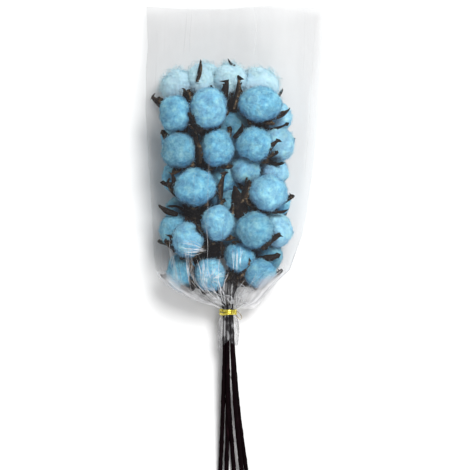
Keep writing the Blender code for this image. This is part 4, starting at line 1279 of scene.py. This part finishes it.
def fan_crease(grid, rows, rng):
    """A crease that runs up from the neck."""
    low = rng.uniform(-64, -48)
    high = low + 5 + rng.exponential(19)
    start = rng.uniform(0, 2 * math.pi)
    drift = rng.normal(0, 0.10)
    y = np.linspace(low, min(high, 30), 14)
    t = np.linspace(0, 1, 14)
    wander = start + drift * t + 0.03 * np.sin(5 * t + rng.uniform(0, 6))
    path = on_film(grid, rows, y, wander % (2 * math.pi))
    # 1 is a milky crease with a painted highlight, 2 a crease with painted shade.
    return crease_strip(path, rng.uniform(0.3, 0.75), 1 if rng.random() < 0.66 else 2)


def star_crease(rng, point, directions, reaches):
    """The places that a crease runs through on its way out from a point, a little bent."""
    angle = math.radians(rng.uniform(*directions))
    way = np.array([math.cos(angle), math.sin(angle)])
    size, bend = rng.uniform(*reaches), rng.normal(0, 0.09)
    return [np.array(point) + size * (t * way + bend * t * t * np.array([-way[1], way[0]]))
            for t in np.linspace(rng.uniform(0.08, 0.5), 1, 4)]


def side_crease(rng, head, foot):
    """The places that a crease runs through on its way down a patch from its head to its foot."""
    share, start, end = rng.random(), rng.uniform(0, 0.5), rng.uniform(0.6, 1)
    corners = []
    for t in np.linspace(start, end, 4):
        left, right, y = (a + (b - a) * t for a, b in zip(head, foot))
        corners.append((left + (right - left) * share + rng.normal(0, 0.35), y))
    return corners


def creases(grid):
    """The film's creases: those that fan out from the neck, and the ones seen over the low bolls."""
    rng = np.random.default_rng(CREASE_SEED)
    rows = film_rows()
    strips = [fan_crease(grid, rows, rng) for _ in range(FAN_CREASES)]

    def add(corners, milky_and_highlight_share):
        strips.append(crease_strip(top_path(grid, rows, corners), rng.uniform(CREASE_THIN, CREASE_THICK),
                                   1 if rng.random() < milky_and_highlight_share else 2))

    for point, directions, reaches, count in STAR_CREASES:
        for _ in range(count):
            add(star_crease(rng, point, directions, reaches), 0.85)
    for head, foot, count in SIDE_CREASES:
        for _ in range(count):
            add(side_crease(rng, head, foot), 0.62)
    for corners, width, number in TOP_CREASES:
        strips.append(crease_strip(top_path(grid, rows, corners), width * CREASE_WIDTH, number))
    return strips


def dog_ear():
    """The loose corner of film that sticks out beside the neck."""
    steps = np.linspace(0, 1, DOG_EAR_STEPS)
    root = np.linspace(*np.array(DOG_EAR_ROOT, float), DOG_EAR_STEPS)
    edge = np.stack([np.interp(steps, DOG_EAR_TURNS, axis) for axis in zip(*DOG_EAR_EDGE)], 1)
    bend = np.sin(steps * math.pi)[:, None] * [0.0, 0.0, DOG_EAR_BULGE]
    points = np.vstack([root + bend, (root + edge) / 2 + 0.5 * bend, edge])
    triangles = []
    for row in (0, DOG_EAR_STEPS):
        for a in range(row, row + DOG_EAR_STEPS - 1):
            b = a + DOG_EAR_STEPS
            triangles += [(a, a + 1, b + 1), (a, b + 1, b)]
    return points, np.array(triangles), 0


# Tie

# The middles of the two turns along the neck, the foil's half thickness and half width, and the
# tail: its start from the neck's middle, its way, how far its two wires bow apart, and their radius
TIE_TURNS = (-1.55, 1.35)
FOIL_HALF_THICKNESS, FOIL_HALF_WIDTH = 0.5, 1.4
TAIL_START, TAIL_WAY = (8.25, 0, 2.5), (5.2, -7.3, -2.0)
TAIL_BOW = (1.2, 0.9, 0.4)
TAIL_RADIUS = 0.5


def tie(looks):
    """The twist tie: two flat foil turns round the neck and a tail bent into a narrow loop."""
    rng = np.random.default_rng(TIE_SEED)
    centre = np.array([NECK_X, NECK_Y, NECK_Z])
    shapes = []
    turns = np.linspace(0, 2 * math.pi, 65)[:-1]
    corners = np.arange(10) * 2 * math.pi / 10
    for k, side in enumerate(TIE_TURNS):
        sway = side + 0.35 * np.sin(turns * 2 + 2.5 * k) + 0.15 * np.sin(turns * 5 + k)
        rings = []
        for turn, shift in zip(turns, sway):
            out = np.array([math.cos(turn), 0, math.sin(turn)])
            middle = centre + out * (TIE_RADIUS + 0.1) + [0, shift, 0]
            rings.append(middle + out * FOIL_HALF_THICKNESS * np.cos(corners)[:, None]
                         + np.array([0, FOIL_HALF_WIDTH, 0]) * np.sin(corners)[:, None])
        rings.append(rings[0])
        shapes.append((*loft(rings, close_ends=False), 0))
    along = np.linspace(0, 1, 40)[:, None]
    for bow in (-1, 1):
        apart = bow * np.array(TAIL_BOW) * (0.35 + np.sin(math.pi * along) ** 0.7)
        tail = centre + TAIL_START + along * np.array(TAIL_WAY) + apart
        shapes.append((*loft(tube_rings(tail, np.full(40, TAIL_RADIUS), 8, rng, 0.06)), 1))
    points, triangles, numbers = merged(shapes)
    mesh = mesh_from("twist_tie_foil", points, triangles)
    place("twist_tie_foil", mesh, looks, "foil", "twist_tie")
    mesh.polygons.foreach_set("material_index", numbers.astype(np.int32))


# Floor, light and camera, in metres

FLOOR_HALF_WIDTH = 3.0
FLOOR_DROP = 0.0003
WORLD_LIGHT = 0.36
# Each light's name, place, aim, width and power in watts
LIGHTS = (("key", (0.95, 1.5, 2.85), (0, 0.03, 0.03), 1.4, 98),
          ("fill", (0.6, -1.7, 1.3), (0, -0.05, 0.03), 1.2, 19))
SENSOR_WIDTH = 36.0
CAMERA_RISE = 2.5
MIDDLE_HEIGHT = 0.045
FRAME_WIDTH = 0.47
FRAME_CENTRE_Y = 0.011


def area_light(name, place_at, aim, size, power):
    light = bpy.data.lights.new(name, "AREA")
    light.shape = "DISK"
    light.size = size
    light.energy = power
    obj = bpy.data.objects.new(name, light)
    obj.location = place_at
    obj.rotation_euler = (Vector(aim) - Vector(place_at)).to_track_quat("-Z", "Y").to_euler()
    bpy.context.scene.collection.objects.link(obj)


def studio():
    scene = bpy.context.scene
    bm = bmesh.new()
    bmesh.ops.create_grid(bm, x_segments=1, y_segments=1, size=FLOOR_HALF_WIDTH)
    mesh = bpy.data.meshes.new("floor")
    bm.to_mesh(mesh)
    bm.free()
    floor = bpy.data.objects.new("floor", mesh)
    floor.location = (0, 0, -FLOOR_DROP)
    mesh.materials.append(floor_look())
    scene.collection.objects.link(floor)
    world = bpy.data.worlds.new("studio")
    world.use_nodes = True
    world.node_tree.nodes["Background"].inputs["Color"].default_value = (1.0, 1.0, 1.0, 1.0)
    world.node_tree.nodes["Background"].inputs["Strength"].default_value = WORLD_LIGHT
    scene.world = world
    for light in LIGHTS:
        area_light(*light)
    scene.view_settings.view_transform = "Standard"


def camera():
    data = bpy.data.cameras.new("camera")
    data.sensor_width = SENSOR_WIDTH
    data.lens = SENSOR_WIDTH * CAMERA_RISE / FRAME_WIDTH
    obj = bpy.data.objects.new("camera", data)
    obj.location = (0.0, FRAME_CENTRE_Y, CAMERA_RISE + MIDDLE_HEIGHT)
    bpy.context.scene.collection.objects.link(obj)
    bpy.context.scene.camera = obj


def main():
    paths, stalks, claws = lay_out()
    blues = {name: cotton_looks("cotton_" + name, *shade) for name, shade in PAINTED_LIGHT_SHADES.items()}
    ball = ball_template()
    for index in range(len(BOLLS)):
        cotton(index, limits_round(index, paths, stalks, claws), ball, blues)
    looks = wood_looks()
    for number in STEM_ROUTES:
        stem(number, claws, looks)
    film(film_looks())
    tie(tie_looks())
    studio()
    camera()


main()
